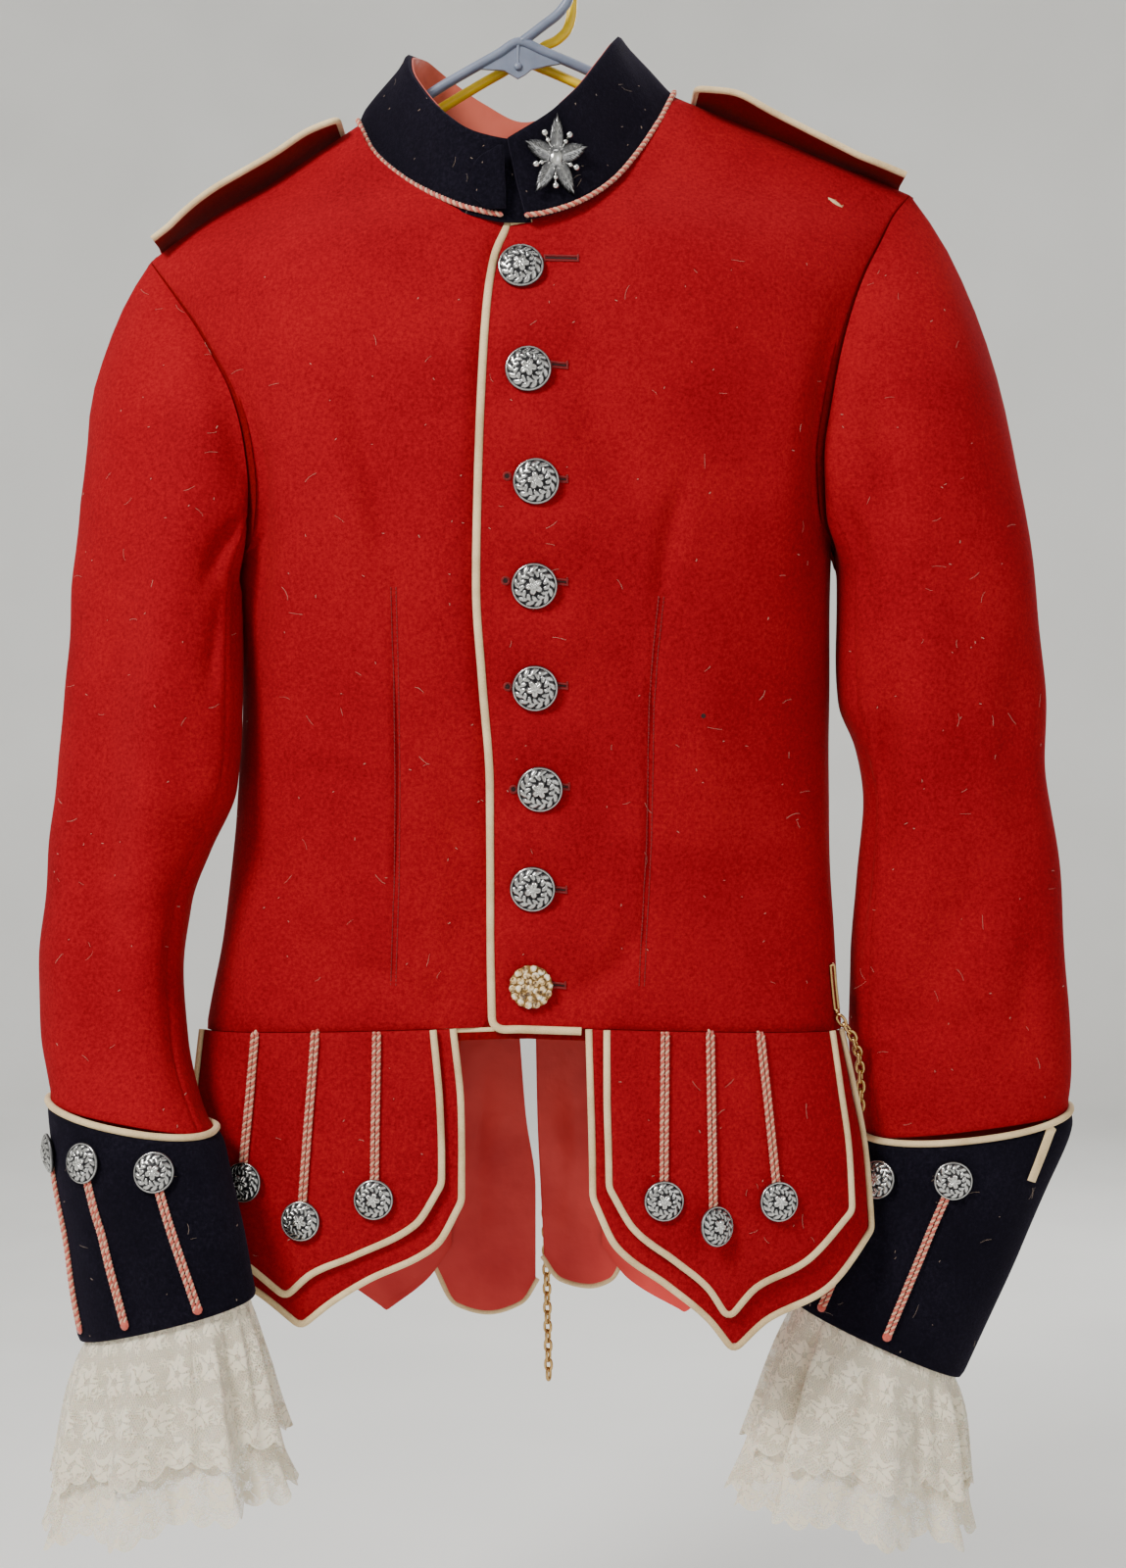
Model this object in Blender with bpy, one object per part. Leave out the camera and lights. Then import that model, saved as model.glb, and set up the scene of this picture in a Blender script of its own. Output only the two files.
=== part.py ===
"""A highland doublet on two plastic hangers. Metres, +Z up, front towards -Y, the wearer's left at +X.

The origin is the inner top of the blue hanger's hook. Tables are in millimetres and are scaled by MM.
"""

import math

import bmesh
import bpy
import numpy as np
from mathutils import Vector
from mathutils.bvhtree import BVHTree

MM = 0.001
GAP = 0.3 * MM  # between pieces at a seam
WAIST_GAP = 0.7 * MM  # outside, where the two walls slant towards each other
SEAM_HALF = 0.2 * MM
SEAT_GAP = 0.2 * MM  # between a button or hook and what carries it
CLOTH = 2.0 * MM  # one wool wall with its backing
LAYER = 2.5 * MM  # one wall and a gap, for what lies on a panel
FLAP_LAYER = 3.3 * MM  # how far the top flap stands off the under flap
LACE = 1.0 * MM
ROUNDNESS = 2.5  # superellipse power of the body's sections
SHOULDER_POWER = 1.8  # how the cloth rolls over the shoulder
FRONT_ROLL = 110 * MM  # height over which the front rolls to the ridge
BACK_ROLL = 60 * MM
COLLAR_THICK = 2.6 * MM
CORD_RADIUS = 1.3 * MM
PIPING_RADIUS = 2.0 * MM
FRONT_BUTTON_RADIUS = 12.7 * MM
SMALL_BUTTON_RADIUS = 11.2 * MM
HANGER_RADIUS = 3.0 * MM
SIDE_HOOK_RADIUS, CHAIN_RADIUS = 1.6 * MM, 2.2 * MM
WAIST_FRONT = -634 * MM
ARMPIT_ROW = 9
LEFT, RIGHT = 1, -1
FRONT, BACK = -1, 1
SIDE_NAME = {LEFT: "left", RIGHT: "right"}


def smooth(keys, values, key):
    """Values at key on a smooth curve through the rows, with no overshoot."""
    i = int(np.clip(np.searchsorted(keys, key) - 1, 0, len(keys) - 2))
    step = np.diff(keys)[:, None]
    slope = np.diff(values, axis=0) / step

    def tangent(j):
        if j in (0, len(keys) - 1):
            return slope[min(j, len(slope) - 1)]
        before, after = slope[j - 1], slope[j]
        same = before * after > 0
        both = np.where(same, before + after, 1.0)
        return np.where(same, 2 * before * after / both, 0.0)

    h = step[i, 0]
    t = (key - keys[i]) / h
    return (
        (2 * t**3 - 3 * t**2 + 1) * values[i]
        + (t**3 - 2 * t**2 + t) * h * tangent(i)
        + (3 * t**2 - 2 * t**3) * values[i + 1]
        + (t**3 - t**2) * h * tangent(i + 1)
    )


class Table:
    """Rows with named columns in millimetres. The key is the first column, or the row's number."""

    def __init__(self, columns, rows, numbered=False):
        self.columns = columns.split()
        data = np.array(rows, float) * MM
        if numbered:
            self.keys, self.values = np.arange(len(data), dtype=float), data
            self.names = self.columns
        else:
            data = data[np.argsort(data[:, 0])]
            self.keys, self.values = data[:, 0], data[:, 1:]
            self.names = self.columns[1:]

    def at(self, key, name=None):
        found = smooth(self.keys, self.values, key)
        return found if name is None else float(found[self.names.index(name)])


# The body's level sections, from the shoulders to the ends of the flaps.
BODY = Table(
    "z right left front back",
    [
        (-60, 235, 250, 36, 30),
        (-100, 235, 248, 40, 36),
        (-150, 228, 240, 54, 46),
        (-190, 222, 222, 78, 50),
        (-230, 200, 206, 88, 50),
        (-280, 181, 194, 95, 50),
        (-336, 170, 184, 96, 48),
        (-376, 165.5, 183, 93, 47),
        (-440, 162, 182, 84, 44),
        (-515, 166, 182, 72, 42),
        (-585, 174, 185, 65, 42),
        (-640, 184, 190, 63, 43),
        (-700, 196, 202, 66, 45),
        (-760, 204, 212, 68, 47),
        (-830, 208, 216, 69, 48),
    ],
)

# The shoulder ridge, from the neck out.
RIDGE = {
    RIGHT: Table("x z", [(0, -45), (95.5, -108.6), (144, -141.6), (188, -166.4), (240, -206)]),
    LEFT: Table("x z", [(0, -56), (91.9, -91.8), (150, -119.6), (200, -137), (250, -158)]),
}

# Each front and back panel by its rows: where a row starts at the middle or neck, and ends at the arm.
UPPER_ROWS = {
    (FRONT, RIGHT): [
        (-95.5, -108.6, -217.6, -190),
        (-85, -132, -208, -203),
        (-65, -154, -196, -219),
        (-44, -169.5, -183, -237),
        (-23, -180, -171, -257),
        (10, -187, -161, -276),
        (10, -230, -153, -303),
        (9, -280, -149.5, -333),
        (6, -330, -152, -357),
    ],
    (FRONT, LEFT): [
        (91.9, -91.8, 230.8, -150),
        (82.8, -108.6, 219, -165),
        (68.3, -134.5, 209, -184),
        (51.5, -157.8, 198, -205),
        (29.8, -174.9, 189, -228),
        (-4, -187, 182, -252),
        (-15, -230, 176, -281),
        (-18, -280, 171.5, -312),
        (-20, -330, 173, -342),
    ],
    (BACK, RIGHT): [
        (-95.5, -108.6, -217.6, -190),
        (-85, -124, -212, -201),
        (-66, -135, -205, -215),
        (-44, -141, -197, -232),
        (-22, -144, -188, -252),
        (-0.2, -144.5, -179, -274),
        (-0.2, -190, -169, -304),
        (-0.2, -240, -162, -334),
        (-0.2, -310, -161, -358),
    ],
    (BACK, LEFT): [
        (91.9, -91.8, 230.8, -150),
        (82, -110, 223, -163),
        (64, -127, 215, -180),
        (43, -138, 207, -199),
        (22, -143, 199, -222),
        (0.2, -144.5, 192, -247),
        (0.2, -190, 184, -278),
        (0.2, -240, 178, -311),
        (0.2, -310, 178.5, -343),
    ],
}
ARMPIT = {RIGHT: -376, LEFT: -364}
PANEL_COLUMNS = (0, 0.08, 0.2, 0.34, 0.48, 0.62, 0.76, 0.89, 1)
UNDER_COLUMNS = (0, 0.03, 0.058, 0.085, 0.19, 0.34, 0.5, 0.66, 0.8, 0.91, 1)
LOWER_ROWS = {  # middle height and side height of each row below the armpit, after the armpit's own
    FRONT: [(-420, -420), (-465, -465), (-510, -510), (-555, -555), (-597, -600), (-634, -641)],
    BACK: [(-420, -420), (-465, -465), (-510, -510), (-555, -555), (-600, -600), (-646, -641)],
}

# The over front's edge down the middle. The under front reaches this far past it.
FRONT_EDGE = Table(
    "z x",
    [
        (-187, -4), (-204, -11), (-230, -15), (-280, -18), (-336, -20),
        (-390, -21), (-440, -18), (-500, -14), (-580, -14), (-640, -13),
    ],
)
UNDERLAP = 26 * MM
UNDERLAP_RAMP = 12 * MM  # over which the under front dips below the over front

# The collar's seam and its top edge, once round from the front of the over side.
COLLAR_BASE = [
    (-3, -83.5, -186), (29.8, -75, -175), (51.5, -58, -158), (68.3, -38, -134.5), (82.8, -18, -108.6),
    (91.9, 2, -92), (84, 22, -108), (64, 37, -126), (38, 45, -139), (0, 48, -144),
    (-38, 45, -141), (-66, 36, -134), (-86, 22, -123), (-95.5, 2, -108.6), (-84.6, -20, -132),
    (-64.8, -43, -154), (-43.7, -62, -169.5), (-23.3, -75, -180), (-5, -79, -184), (8, -77.5, -184),
]
COLLAR_TOP = [
    (-5, -81, -139), (20.5, -73, -120.6), (35.4, -58, -103), (48, -40, -82), (56, -22, -66),
    (59, 0, -57), (54, 22, -64), (42, 36, -78), (24, 44, -90), (2, 47, -95),
    (-24, 44, -84), (-46, 36, -71), (-60, 20, -64), (-66, -2, -67.5), (-65, -22, -80),
    (-56, -42, -100), (-43.7, -58, -117), (-25, -71, -132), (-8, -75.5, -137.5), (4, -75, -139),
]

# The tongue at the collar's front end: its left and right edges by height.
COLLAR_TAB = [(-144, -10, -8), (-151, -22, -7.5), (-160, -26, -7), (-170, -25, -6.5), (-179, -18, -6.5)]
TAB_Y, TAB_TURN = -84.5, 0.2

# The badge: leaves round a boss.
BADGE_X, BADGE_THICK, BADGE_LEAVES = 22 * MM, 2.0 * MM, 5
BADGE_HALF = (20 * MM, 24 * MM)

# Rings of each sleeve and cuff: inner edge, outer edge, and how far it stands out in front and behind.
RING_COLUMNS = "in_x in_y in_z out_x out_y out_z front back"
SLEEVE_RINGS = {
    RIGHT: Table(
        RING_COLUMNS,
        [
            (-157, -38, -392, -259.5, -8, -370, 42, 40),
            (-157, -44, -428, -262.5, -10, -415, 42, 38),
            (-157, -46, -465, -266, -12, -456, 41, 36),
            (-160, -46, -500, -270, -14, -500, 40, 35),
            (-176, -38, -535, -273, -16, -535, 39, 34),
            (-188.5, -38, -568, -275.5, -20, -568, 38, 33),
            (-192, -41, -602, -276.7, -24, -602, 37, 32),
            (-189, -46, -643, -275, -30, -640, 36, 31),
            (-178, -62, -674, -270, -40, -663, 34, 28),
            (-167.5, -74, -694.5, -263.5, -52, -680.5, 33, 26),
            (-156, -86, -738, -252.5, -62, -744, 33, 25),
            (-146.5, -92, -780, -242, -68, -807, 33, 24),
        ],
        numbered=True,
    ),
    LEFT: Table(
        RING_COLUMNS,
        [
            (185, -22, -380, 299.5, -6, -364, 46, 42),
            (185, -18, -416, 305.5, -6, -412, 46, 41),
            (187, -15, -450, 308.5, -5, -450, 45, 40),
            (196, -12, -478, 309, -4, -480, 43, 39),
            (201, -6, -515, 313, -2, -515, 42, 38),
            (199.5, -2, -556, 318.2, 0, -556, 41, 37),
            (196, 3, -602, 322.3, 3, -602, 40, 36),
            (196, 8, -645, 325.8, 7, -640, 38, 35),
            (200, 12, -682, 327, 10, -670, 36, 34),
            (205, 16, -711, 326, 14, -696, 35, 33),
            (186, 17, -758, 295, 15, -772, 34, 31),
            (164, 18, -806, 260, 16, -849, 33, 29),
        ],
        numbered=True,
    ),
}
CUFF_RING, HEM_RING = 9, 11
CUFF_OUT, CUFF_THICK = 3.6 * MM, 2.5 * MM
CUFF_DIP = 12 * MM  # how much lower the cuff's top edge runs at the front
SLEEVE_CLEAR = 2.0 * MM  # between a sleeve and the body
SEAM_TURN = 0.35  # degrees that each sleeve panel stops short of the seam
SEAM_ANGLES = (150, 330)  # where the top sleeve meets the under sleeve

# Front flaps: the edges' x by height, and the lower edge's height across from the middle to the side.
FLAPS = {
    ("top", RIGHT): (
        [(-636, -49, -180), (-680, -45, -184), (-712, -44, -187), (-800, -44, -188)],
        [(-722, 0), (-744, 100), (-761, 330), (-772, 500), (-785, 600), (-772, 720), (-756, 880), (-728, 1000)],
    ),
    ("under", RIGHT): (
        [(-636, -38, -181), (-680, -33.5, -186), (-712, -33, -189), (-815, -33, -190)],
        [(-732, 0), (-756, 90), (-776, 340), (-788, 460), (-802, 570), (-788, 690), (-770, 870), (-738, 1000)],
    ),
    ("top", LEFT): (
        [(-636, 52, 177), (-672, 52, 182), (-712, 53, 187), (-800, 54, 190)],
        [(-724, 0), (-747, 100), (-765, 270), (-780, 400), (-796, 475), (-780, 590), (-768, 790), (-742, 1000)],
    ),
    ("under", LEFT): (
        [(-636, 42, 186), (-672, 43, 194), (-712, 44, 201), (-820, 45, 206)],
        [(-730, 0), (-757, 80), (-779, 260), (-798, 400), (-815, 480), (-799, 600), (-785, 810), (-755, 1000)],
    ),
}
BACK_FLAPS = {
    RIGHT: (
        [(-644, -36, -150), (-700, -40, -156), (-840, -44, -160)],
        [(-780, 0), (-800, 120), (-819, 330), (-800, 560), (-780, 850), (-750, 1000)],
    ),
    LEFT: (
        [(-644, 40, 148), (-700, 46, 152), (-840, 52, 154)],
        [(-780, 0), (-800, 150), (-820, 480), (-800, 700), (-780, 880), (-750, 1000)],
    ),
}
TAILS = {
    RIGHT: (
        [(-648, -1, -37), (-700, 3, -39), (-745, 9, -48), (-830, 9, -56)],
        [(-800, 0), (-814, 150), (-820, 450), (-815, 750), (-790, 1000)],
    ),
    LEFT: (
        [(-648, 9, 42), (-700, 10, 50), (-745, 12, 58), (-820, 16, 66)],
        [(-786, 0), (-800, 200), (-804, 550), (-800, 800), (-784, 1000)],
    ),
}

# Buttons: height of each down the front, then x and z of those on the flaps.
FRONT_BUTTONS = [
    (2.4, -211), (6.6, -270), (10.9, -332), (9.9, -389), (10.2, -445), (12.8, -501), (8.6, -557), (7.7, -612),
]
FLAP_BUTTONS = {
    RIGHT: [(-154, -724), (-121, -744), (-80, -731)],
    LEFT: [(82, -732), (109, -746), (146, -734)],
}
CUFF_BUTTON_RING = 9.45
CUFF_BUTTON_ANGLES = {RIGHT: [20, 62, 104], LEFT: [94, 137, 172]}

# Shoulder straps: the front edge's x and z, from the neck out.
STRAP_EDGE = {
    RIGHT: [(-106, -112), (-123, -119), (-141, -131), (-160, -142), (-178, -152.5), (-193, -164), (-206, -177), (-213, -186)],
    LEFT: [(104, -94), (124, -96), (148, -108), (173, -120.6), (190, -129), (205, -137), (217, -145), (225, -151)],
}
STRAP_FRONT_Y, STRAP_BACK_Y = -24 * MM, 26 * MM

# Hanger routes.
BLUE_ARMS = [
    (-160, -158), (-140, -145.5), (-100, -125.5), (-51, -89.5), (-12, -66.8), (0, -60),
    (14, -65.5), (43, -78), (100, -108), (150, -127), (175, -135.5),
]
BLUE_HOOK = [
    (0, -61), (13, -51), (24, -42), (29, -34), (30.5, -24), (28, -12), (21, -3.8),
    (11, 1.6), (0, 3), (-11, 1.2), (-20, -4.6), (-25, -14),
]
# The blue hanger's web under its joint, with a round lug at its lowest point.
GUSSET = [
    (-24, -76), (-9, -76.8), (-5.5, -79), (-1, -81.7), (3, -79.6), (7, -76.3), (15.5, -74.3), (24, -73),
    (14, -66), (0, -60), (-12, -67),
]
GUSSET_HALF = 1.1 * MM
YELLOW_ARMS = [(-140, -153), (-100, -128), (-51, -99), (-12, -76), (2.3, -69), (14, -73), (43, -86), (100, -114), (150, -138)]
YELLOW_HOOK = [
    (5, -71), (14, -60), (22, -56), (28.5, -49), (30.8, -40), (31.5, -24), (29, -8), (20, 1), (9, 5), (-2, 4),
    (-12, -1), (-18, -9),
]
YELLOW_Y = 9 * MM
SIDE_HOOK = [(183, -24, -604), (183.5, -23, -616), (184, -22, -629)]
CHAIN = [
    (186, -25, -633.5), (194, -22, -645), (199.5, -12, -662), (200.5, -8, -685), (196, -2, -706),
    (188, 6, -718), (174, 26, -730), (152, 41, -734),
    (112, 45.5, -724), (72, 49, -700), (44, 50.5, -676), (28, 50.8, -660), (18, 50.8, -664), (14, 51.5, -690),
    (15, 53, -760), (17, 54, -866),
]


def side_of(x):
    return LEFT if x > 0 else RIGHT


def body_reach(x, z, face):
    """How far the body's cloth stands from y = 0 at a point seen from the front."""
    half = BODY.at(z, "left" if x > 0 else "right")
    flat = max(0.0, 1 - abs(x / half) ** ROUNDNESS) ** (1 / ROUNDNESS)
    roll = FRONT_ROLL if face == FRONT else BACK_ROLL
    under = (RIDGE[side_of(x)].at(min(abs(x), 0.24), "z") - z) / roll
    under = min(max(under, 0.0), 1.0)
    top = (1 - (1 - under) ** SHOULDER_POWER) ** (1 / SHOULDER_POWER)
    return BODY.at(z, "front" if face == FRONT else "back") * flat * top


def body_point(x, z, face, out=0.0):
    """A point on the body's outer surface, moved out by a distance along its normal."""
    point = Vector((x, face * body_reach(x, z, face), z))
    if out == 0.0:
        return point
    return point + out * body_normal(x, z, face)


def body_normal(x, z, face):
    step = 1.5 * MM
    across = body_point(x + step, z, face) - body_point(x - step, z, face)
    down = body_point(x, z + step, face) - body_point(x, z - step, face)
    normal = across.cross(down).normalized()
    return normal if normal.y * face > 0 else -normal


def panel_rows(face, side):
    rows = list(UPPER_ROWS[(face, side)])
    middle = rows[-1][0]
    width = "left" if side == LEFT else "right"
    for low_middle, low_side in [(ARMPIT[side] - 0, ARMPIT[side])] + LOWER_ROWS[face]:
        edge = side * BODY.at(low_side * MM, width) / MM
        if face == FRONT:
            middle = FRONT_EDGE.at(low_middle * MM, "x") / MM + (UNDERLAP / MM if side == RIGHT else 0)
        rows.append((middle, low_middle, edge, low_side))
    return Table("in_x in_z out_x out_z", rows, numbered=True)


PANELS = {(face, side): panel_rows(face, side) for face in (FRONT, BACK) for side in (LEFT, RIGHT)}
LAST_ROW = len(PANELS[(FRONT, LEFT)].keys) - 1


def panel_point(face, side, across, row):
    """A panel's outer surface: across runs from the middle, 0, to the arm or side seam, 1."""
    in_x, in_z, out_x, out_z = PANELS[(face, side)].at(row)
    half = BODY.at(out_z, "left" if side == LEFT else "right")
    power = 2 / ROUNDNESS
    turn = math.asin(min(1.0, abs(out_x) / half) ** (1 / power)) if row < ARMPIT_ROW else math.pi / 2
    share = (math.sin(turn * across) / math.sin(turn)) ** power
    x, z = in_x + (out_x - in_x) * share, in_z + (out_z - in_z) * share
    reach = 0.0 if row >= ARMPIT_ROW and across >= 1 else body_reach(x, z, face)
    point = Vector((x, face * reach, z))
    if face == FRONT and side == RIGHT:
        edge = FRONT_EDGE.at(min(z, -0.187), "x")
        under = min(max((x - edge + UNDERLAP_RAMP) / (UNDERLAP_RAMP - 1.5 * MM), 0.0), 1.0)
        point.y += (LAYER + 0.8 * MM) * under * under * (3 - 2 * under)
    return point


def ring_point(side, ring, angle, out=0.0):
    """A sleeve's outer surface: angle 0 is the outer edge, 90 the front, 180 the edge by the body."""
    in_x, in_y, in_z, out_x, out_y, out_z, front, back = SLEEVE_RINGS[side].at(ring)
    inner, outer = Vector((in_x, in_y, in_z)), Vector((out_x, out_y, out_z))
    middle, half = (inner + outer) / 2, (outer - inner) / 2
    cos, sin = math.cos(math.radians(angle)), math.sin(math.radians(angle))
    deep = front if sin > 0 else back
    half_width = half.length
    along = (half_width + out) * math.copysign(abs(cos) ** 0.9, cos)
    proud = (deep + out) * math.copysign(abs(sin) ** 0.9, sin)
    point = middle + half.normalized() * along + Vector((0, -proud, 0))
    return clear_of_body(point, side)


def clear_of_body(point, side):
    """Moves a sleeve's point outwards where it would touch the body."""
    if point.z < -0.652:
        return point
    face = "front" if point.y < 0 else "back"
    deep = BODY.at(point.z, face) + SLEEVE_CLEAR
    if abs(point.y) >= deep:
        return point
    half = BODY.at(point.z, "left" if side == LEFT else "right") + SLEEVE_CLEAR
    nearest = half * (1 - abs(point.y / deep) ** ROUNDNESS) ** (1 / ROUNDNESS)
    if side * point.x < nearest:
        point = Vector((side * nearest, point.y, point.z))
    return point


def armhole_point(side, angle, out):
    """A point of the armhole's seam, and the way off the panel there. Angle 0 is the shoulder's end."""
    face = FRONT if angle <= 180 else BACK
    turn = angle if angle <= 180 else 360 - angle
    row = ARMPIT_ROW * turn / 180
    step = 0.02
    here = panel_point(face, side, 1, row)
    before = panel_point(face, side, 1 - step, row)
    above = panel_point(face, side, 1, max(row - 0.05, 0))
    below = panel_point(face, side, 1, min(row + 0.05, ARMPIT_ROW))
    edge = (below - above).normalized()
    inwards = (before - here).normalized()
    normal = inwards.cross(edge).normalized()
    if normal.y * face + normal.x * side < 0:
        normal = -normal
    off = edge.cross(normal).normalized()
    if off.dot(inwards) > 0:
        off = -off
    low = (1 - math.cos(math.radians(turn))) / 2
    return here + off * out + normal * (2.6 * MM * low)


def sleeve_point(side, angle, down):
    """A sleeve's outer surface: down is 0 at the armhole and 1 at the first ring."""
    angle %= 360
    if down >= 1:
        return ring_point(side, down - 1, angle)
    start = armhole_point(side, angle, 0.6 * MM)
    end = ring_point(side, 0, angle)
    beyond = ring_point(side, 0.25, angle)
    span = (end - start).length
    cos, sin = math.cos(math.radians(angle)), math.sin(math.radians(angle))
    leave = Vector((side * (0.05 + 0.32 * (1 + cos) / 2), -0.5 * sin, -(0.5 + 0.25 * (1 - cos)))).normalized() * span
    arrive = (beyond - end).normalized() * span
    t = down
    point = (
        start * (2 * t**3 - 3 * t**2 + 1)
        + leave * (t**3 - 2 * t**2 + t)
        + end * (3 * t**2 - 2 * t**3)
        + arrive * (t**3 - t**2)
    )
    return clear_of_body(point, side) if point.z < ARMPIT[side] * MM else point


def material(name, colour, roughness, metallic=0.0):
    made = bpy.data.materials.new(name)
    made.use_nodes = True
    shader = made.node_tree.nodes["Principled BSDF"]
    shader.inputs["Base Color"].default_value = (*colour, 1)
    shader.inputs["Roughness"].default_value = roughness
    shader.inputs["Metallic"].default_value = metallic
    made.diffuse_color = (*colour, 1)
    return made


def add_object(name, points, faces, finish):
    mesh = bpy.data.meshes.new(name)
    mesh.from_pydata([tuple(p) for p in points], [], faces)
    made = bpy.data.objects.new(name, mesh)
    bpy.context.scene.collection.objects.link(made)
    edit = bmesh.new()
    edit.from_mesh(mesh)
    bmesh.ops.recalc_face_normals(edit, faces=edit.faces)
    if edit.calc_volume(signed=True) < 0:
        bmesh.ops.reverse_faces(edit, faces=edit.faces)
    edit.to_mesh(mesh)
    edit.free()
    mesh.shade_smooth()
    mesh.set_sharp_from_angle(angle=math.radians(40))
    mesh.materials.append(finish)
    return made


def sheet_normals(grid, round_about):
    """Unit normals of a grid of points, from their neighbours."""
    grid = np.array(grid)
    if round_about:
        across = np.roll(grid, -1, axis=1) - np.roll(grid, 1, axis=1)
    else:
        across = np.gradient(grid, axis=1)
    down = np.gradient(grid, axis=0)
    normal = np.cross(across, down)
    return normal / np.maximum(np.linalg.norm(normal, axis=2, keepdims=True), 1e-9)


def wall(name, grid, finish, thick=CLOTH, inside=None, round_about=False, normal=None, face=0):
    """A closed wall from a grid of outer points.

    inside is a point that the wall's back faces, and face keeps the wall on its own side of y = 0.
    """
    outer = np.array([[tuple(p) for p in row] for row in grid])
    if normal is None:
        normal = sheet_normals(outer, round_about)
    centre = outer.mean(axis=(0, 1))
    toward = np.array(inside if inside is not None else (0, 0, 0)) - centre
    lean = (normal * toward).sum() if not round_about else ((outer.mean(axis=1, keepdims=True) - outer) * normal).sum()
    if lean < 0:
        normal = -normal
    back = outer + normal * thick
    if face:
        for layer in (outer, back):
            layer[..., 1] = face * np.maximum(face * layer[..., 1], SEAM_HALF)
    rows, columns = outer.shape[:2]
    points = np.concatenate([outer.reshape(-1, 3), back.reshape(-1, 3)])
    half = rows * columns
    faces = []
    last = columns if round_about else columns - 1
    for i in range(rows - 1):
        for j in range(last):
            k = (j + 1) % columns
            a, b, c, d = i * columns + j, i * columns + k, (i + 1) * columns + k, (i + 1) * columns + j
            faces += [(a, b, c, d), (half + d, half + c, half + b, half + a)]
    for j in range(last):
        k = (j + 1) % columns
        bottom = (rows - 1) * columns
        faces.append((j, half + j, half + k, k))
        faces.append((bottom + j, bottom + k, half + bottom + k, half + bottom + j))
    if not round_about:
        for i in range(rows - 1):
            a, b = i * columns, (i + 1) * columns
            c, d = a + columns - 1, b + columns - 1
            faces += [(a, b, half + b, half + a), (c, half + c, half + d, d)]
    return add_object(name, points, faces, finish)


def surface_normals(surface, rows, columns, row_step, column_step, row_limits):
    """Unit normals of a surface function at each row and column, from points just beside each."""
    found = np.zeros((len(rows), len(columns), 3))
    for i, row in enumerate(rows):
        above, below = max(row - row_step, row_limits[0]), min(row + row_step, row_limits[1])
        for j, column in enumerate(columns):
            across = surface(row, column + column_step) - surface(row, column - column_step)
            down = surface(below, column) - surface(above, column)
            found[i, j] = across.cross(down).normalized()
    return found


def resampled(route, count):
    """Evenly spaced points on a smooth curve through the route's points."""
    route = np.array([tuple(p) for p in route])
    keys = np.concatenate([[0], np.cumsum(np.linalg.norm(np.diff(route, axis=0), axis=1))])
    return [Vector(smooth(keys, route, keys[-1] * i / (count - 1))) for i in range(count)]


def tube(name, route, radius, finish, sides=6, flat=1.0):
    """A round cord or rod along a route, with closed ends."""
    points, faces = [], []
    up = Vector((0, 1, 0))
    for i, here in enumerate(route):
        ahead = (route[min(i + 1, len(route) - 1)] - route[max(i - 1, 0)]).normalized()
        side = ahead.cross(up)
        side = side.normalized() if side.length > 0.2 else Vector((1, 0, 0))
        lift = side.cross(ahead).normalized()
        for j in range(sides):
            turn = 2 * math.pi * (j + 0.5) / sides
            points.append(here + radius * (math.cos(turn) * side + flat * math.sin(turn) * lift))
    for i in range(len(route) - 1):
        for j in range(sides):
            k = (j + 1) % sides
            faces.append((i * sides + j, i * sides + k, (i + 1) * sides + k, (i + 1) * sides + j))
    faces.append(tuple(range(sides))[::-1])
    faces.append(tuple((len(route) - 1) * sides + j for j in range(sides)))
    return add_object(name, points, faces, finish)


def ring_tube(name, route, radius, finish, sides=6):
    """A round cord along a closed route."""
    points, faces = [], []
    count = len(route)
    middle = sum(route, Vector()) / count
    for i, here in enumerate(route):
        ahead = (route[(i + 1) % count] - route[i - 1]).normalized()
        side = (here - middle).cross(ahead).normalized()
        lift = side.cross(ahead).normalized()
        for j in range(sides):
            turn = 2 * math.pi * j / sides
            points.append(here + radius * (math.cos(turn) * side + math.sin(turn) * lift))
    for i in range(count):
        for j in range(sides):
            a, b = i * sides, ((i + 1) % count) * sides
            k = (j + 1) % sides
            faces.append((a + j, a + k, b + k, b + j))
    return add_object(name, points, faces, finish)


def tree_of(names):
    """A search tree of the faces of the named nodes."""
    points, faces = [], []
    for name in names:
        mesh = bpy.data.objects[name].data
        first = len(points)
        faces += [[first + i for i in face.vertices] for face in mesh.polygons]
        points += [corner.co.copy() for corner in mesh.vertices]
    return BVHTree.FromPolygons(points, faces)


def seated(point, normal, radius, tree):
    """Where along the normal a flat back of that radius rests on the nodes of the tree."""
    away = 20 * MM
    side = normal.orthogonal().normalized()
    other = normal.cross(side)
    lift = -away
    for share in (0.0, 0.5, 1.0):
        for step in range(12):
            turn = math.tau * step / 12
            start = point + normal * away + (side * math.cos(turn) + other * math.sin(turn)) * radius * share
            place, _, _, distance = tree.ray_cast(start, -normal)
            if place is not None:
                lift = max(lift, away - distance)
    return point + normal * (lift + SEAT_GAP)


BUTTON_PROFILE = [(0.55, 0.0), (1.0, 0.16), (0.96, 0.26), (0.6, 0.46)]  # radius and height, by the radius
BUTTON_BACK, BUTTON_TOP = BUTTON_PROFILE[0][0], 0.52


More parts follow.
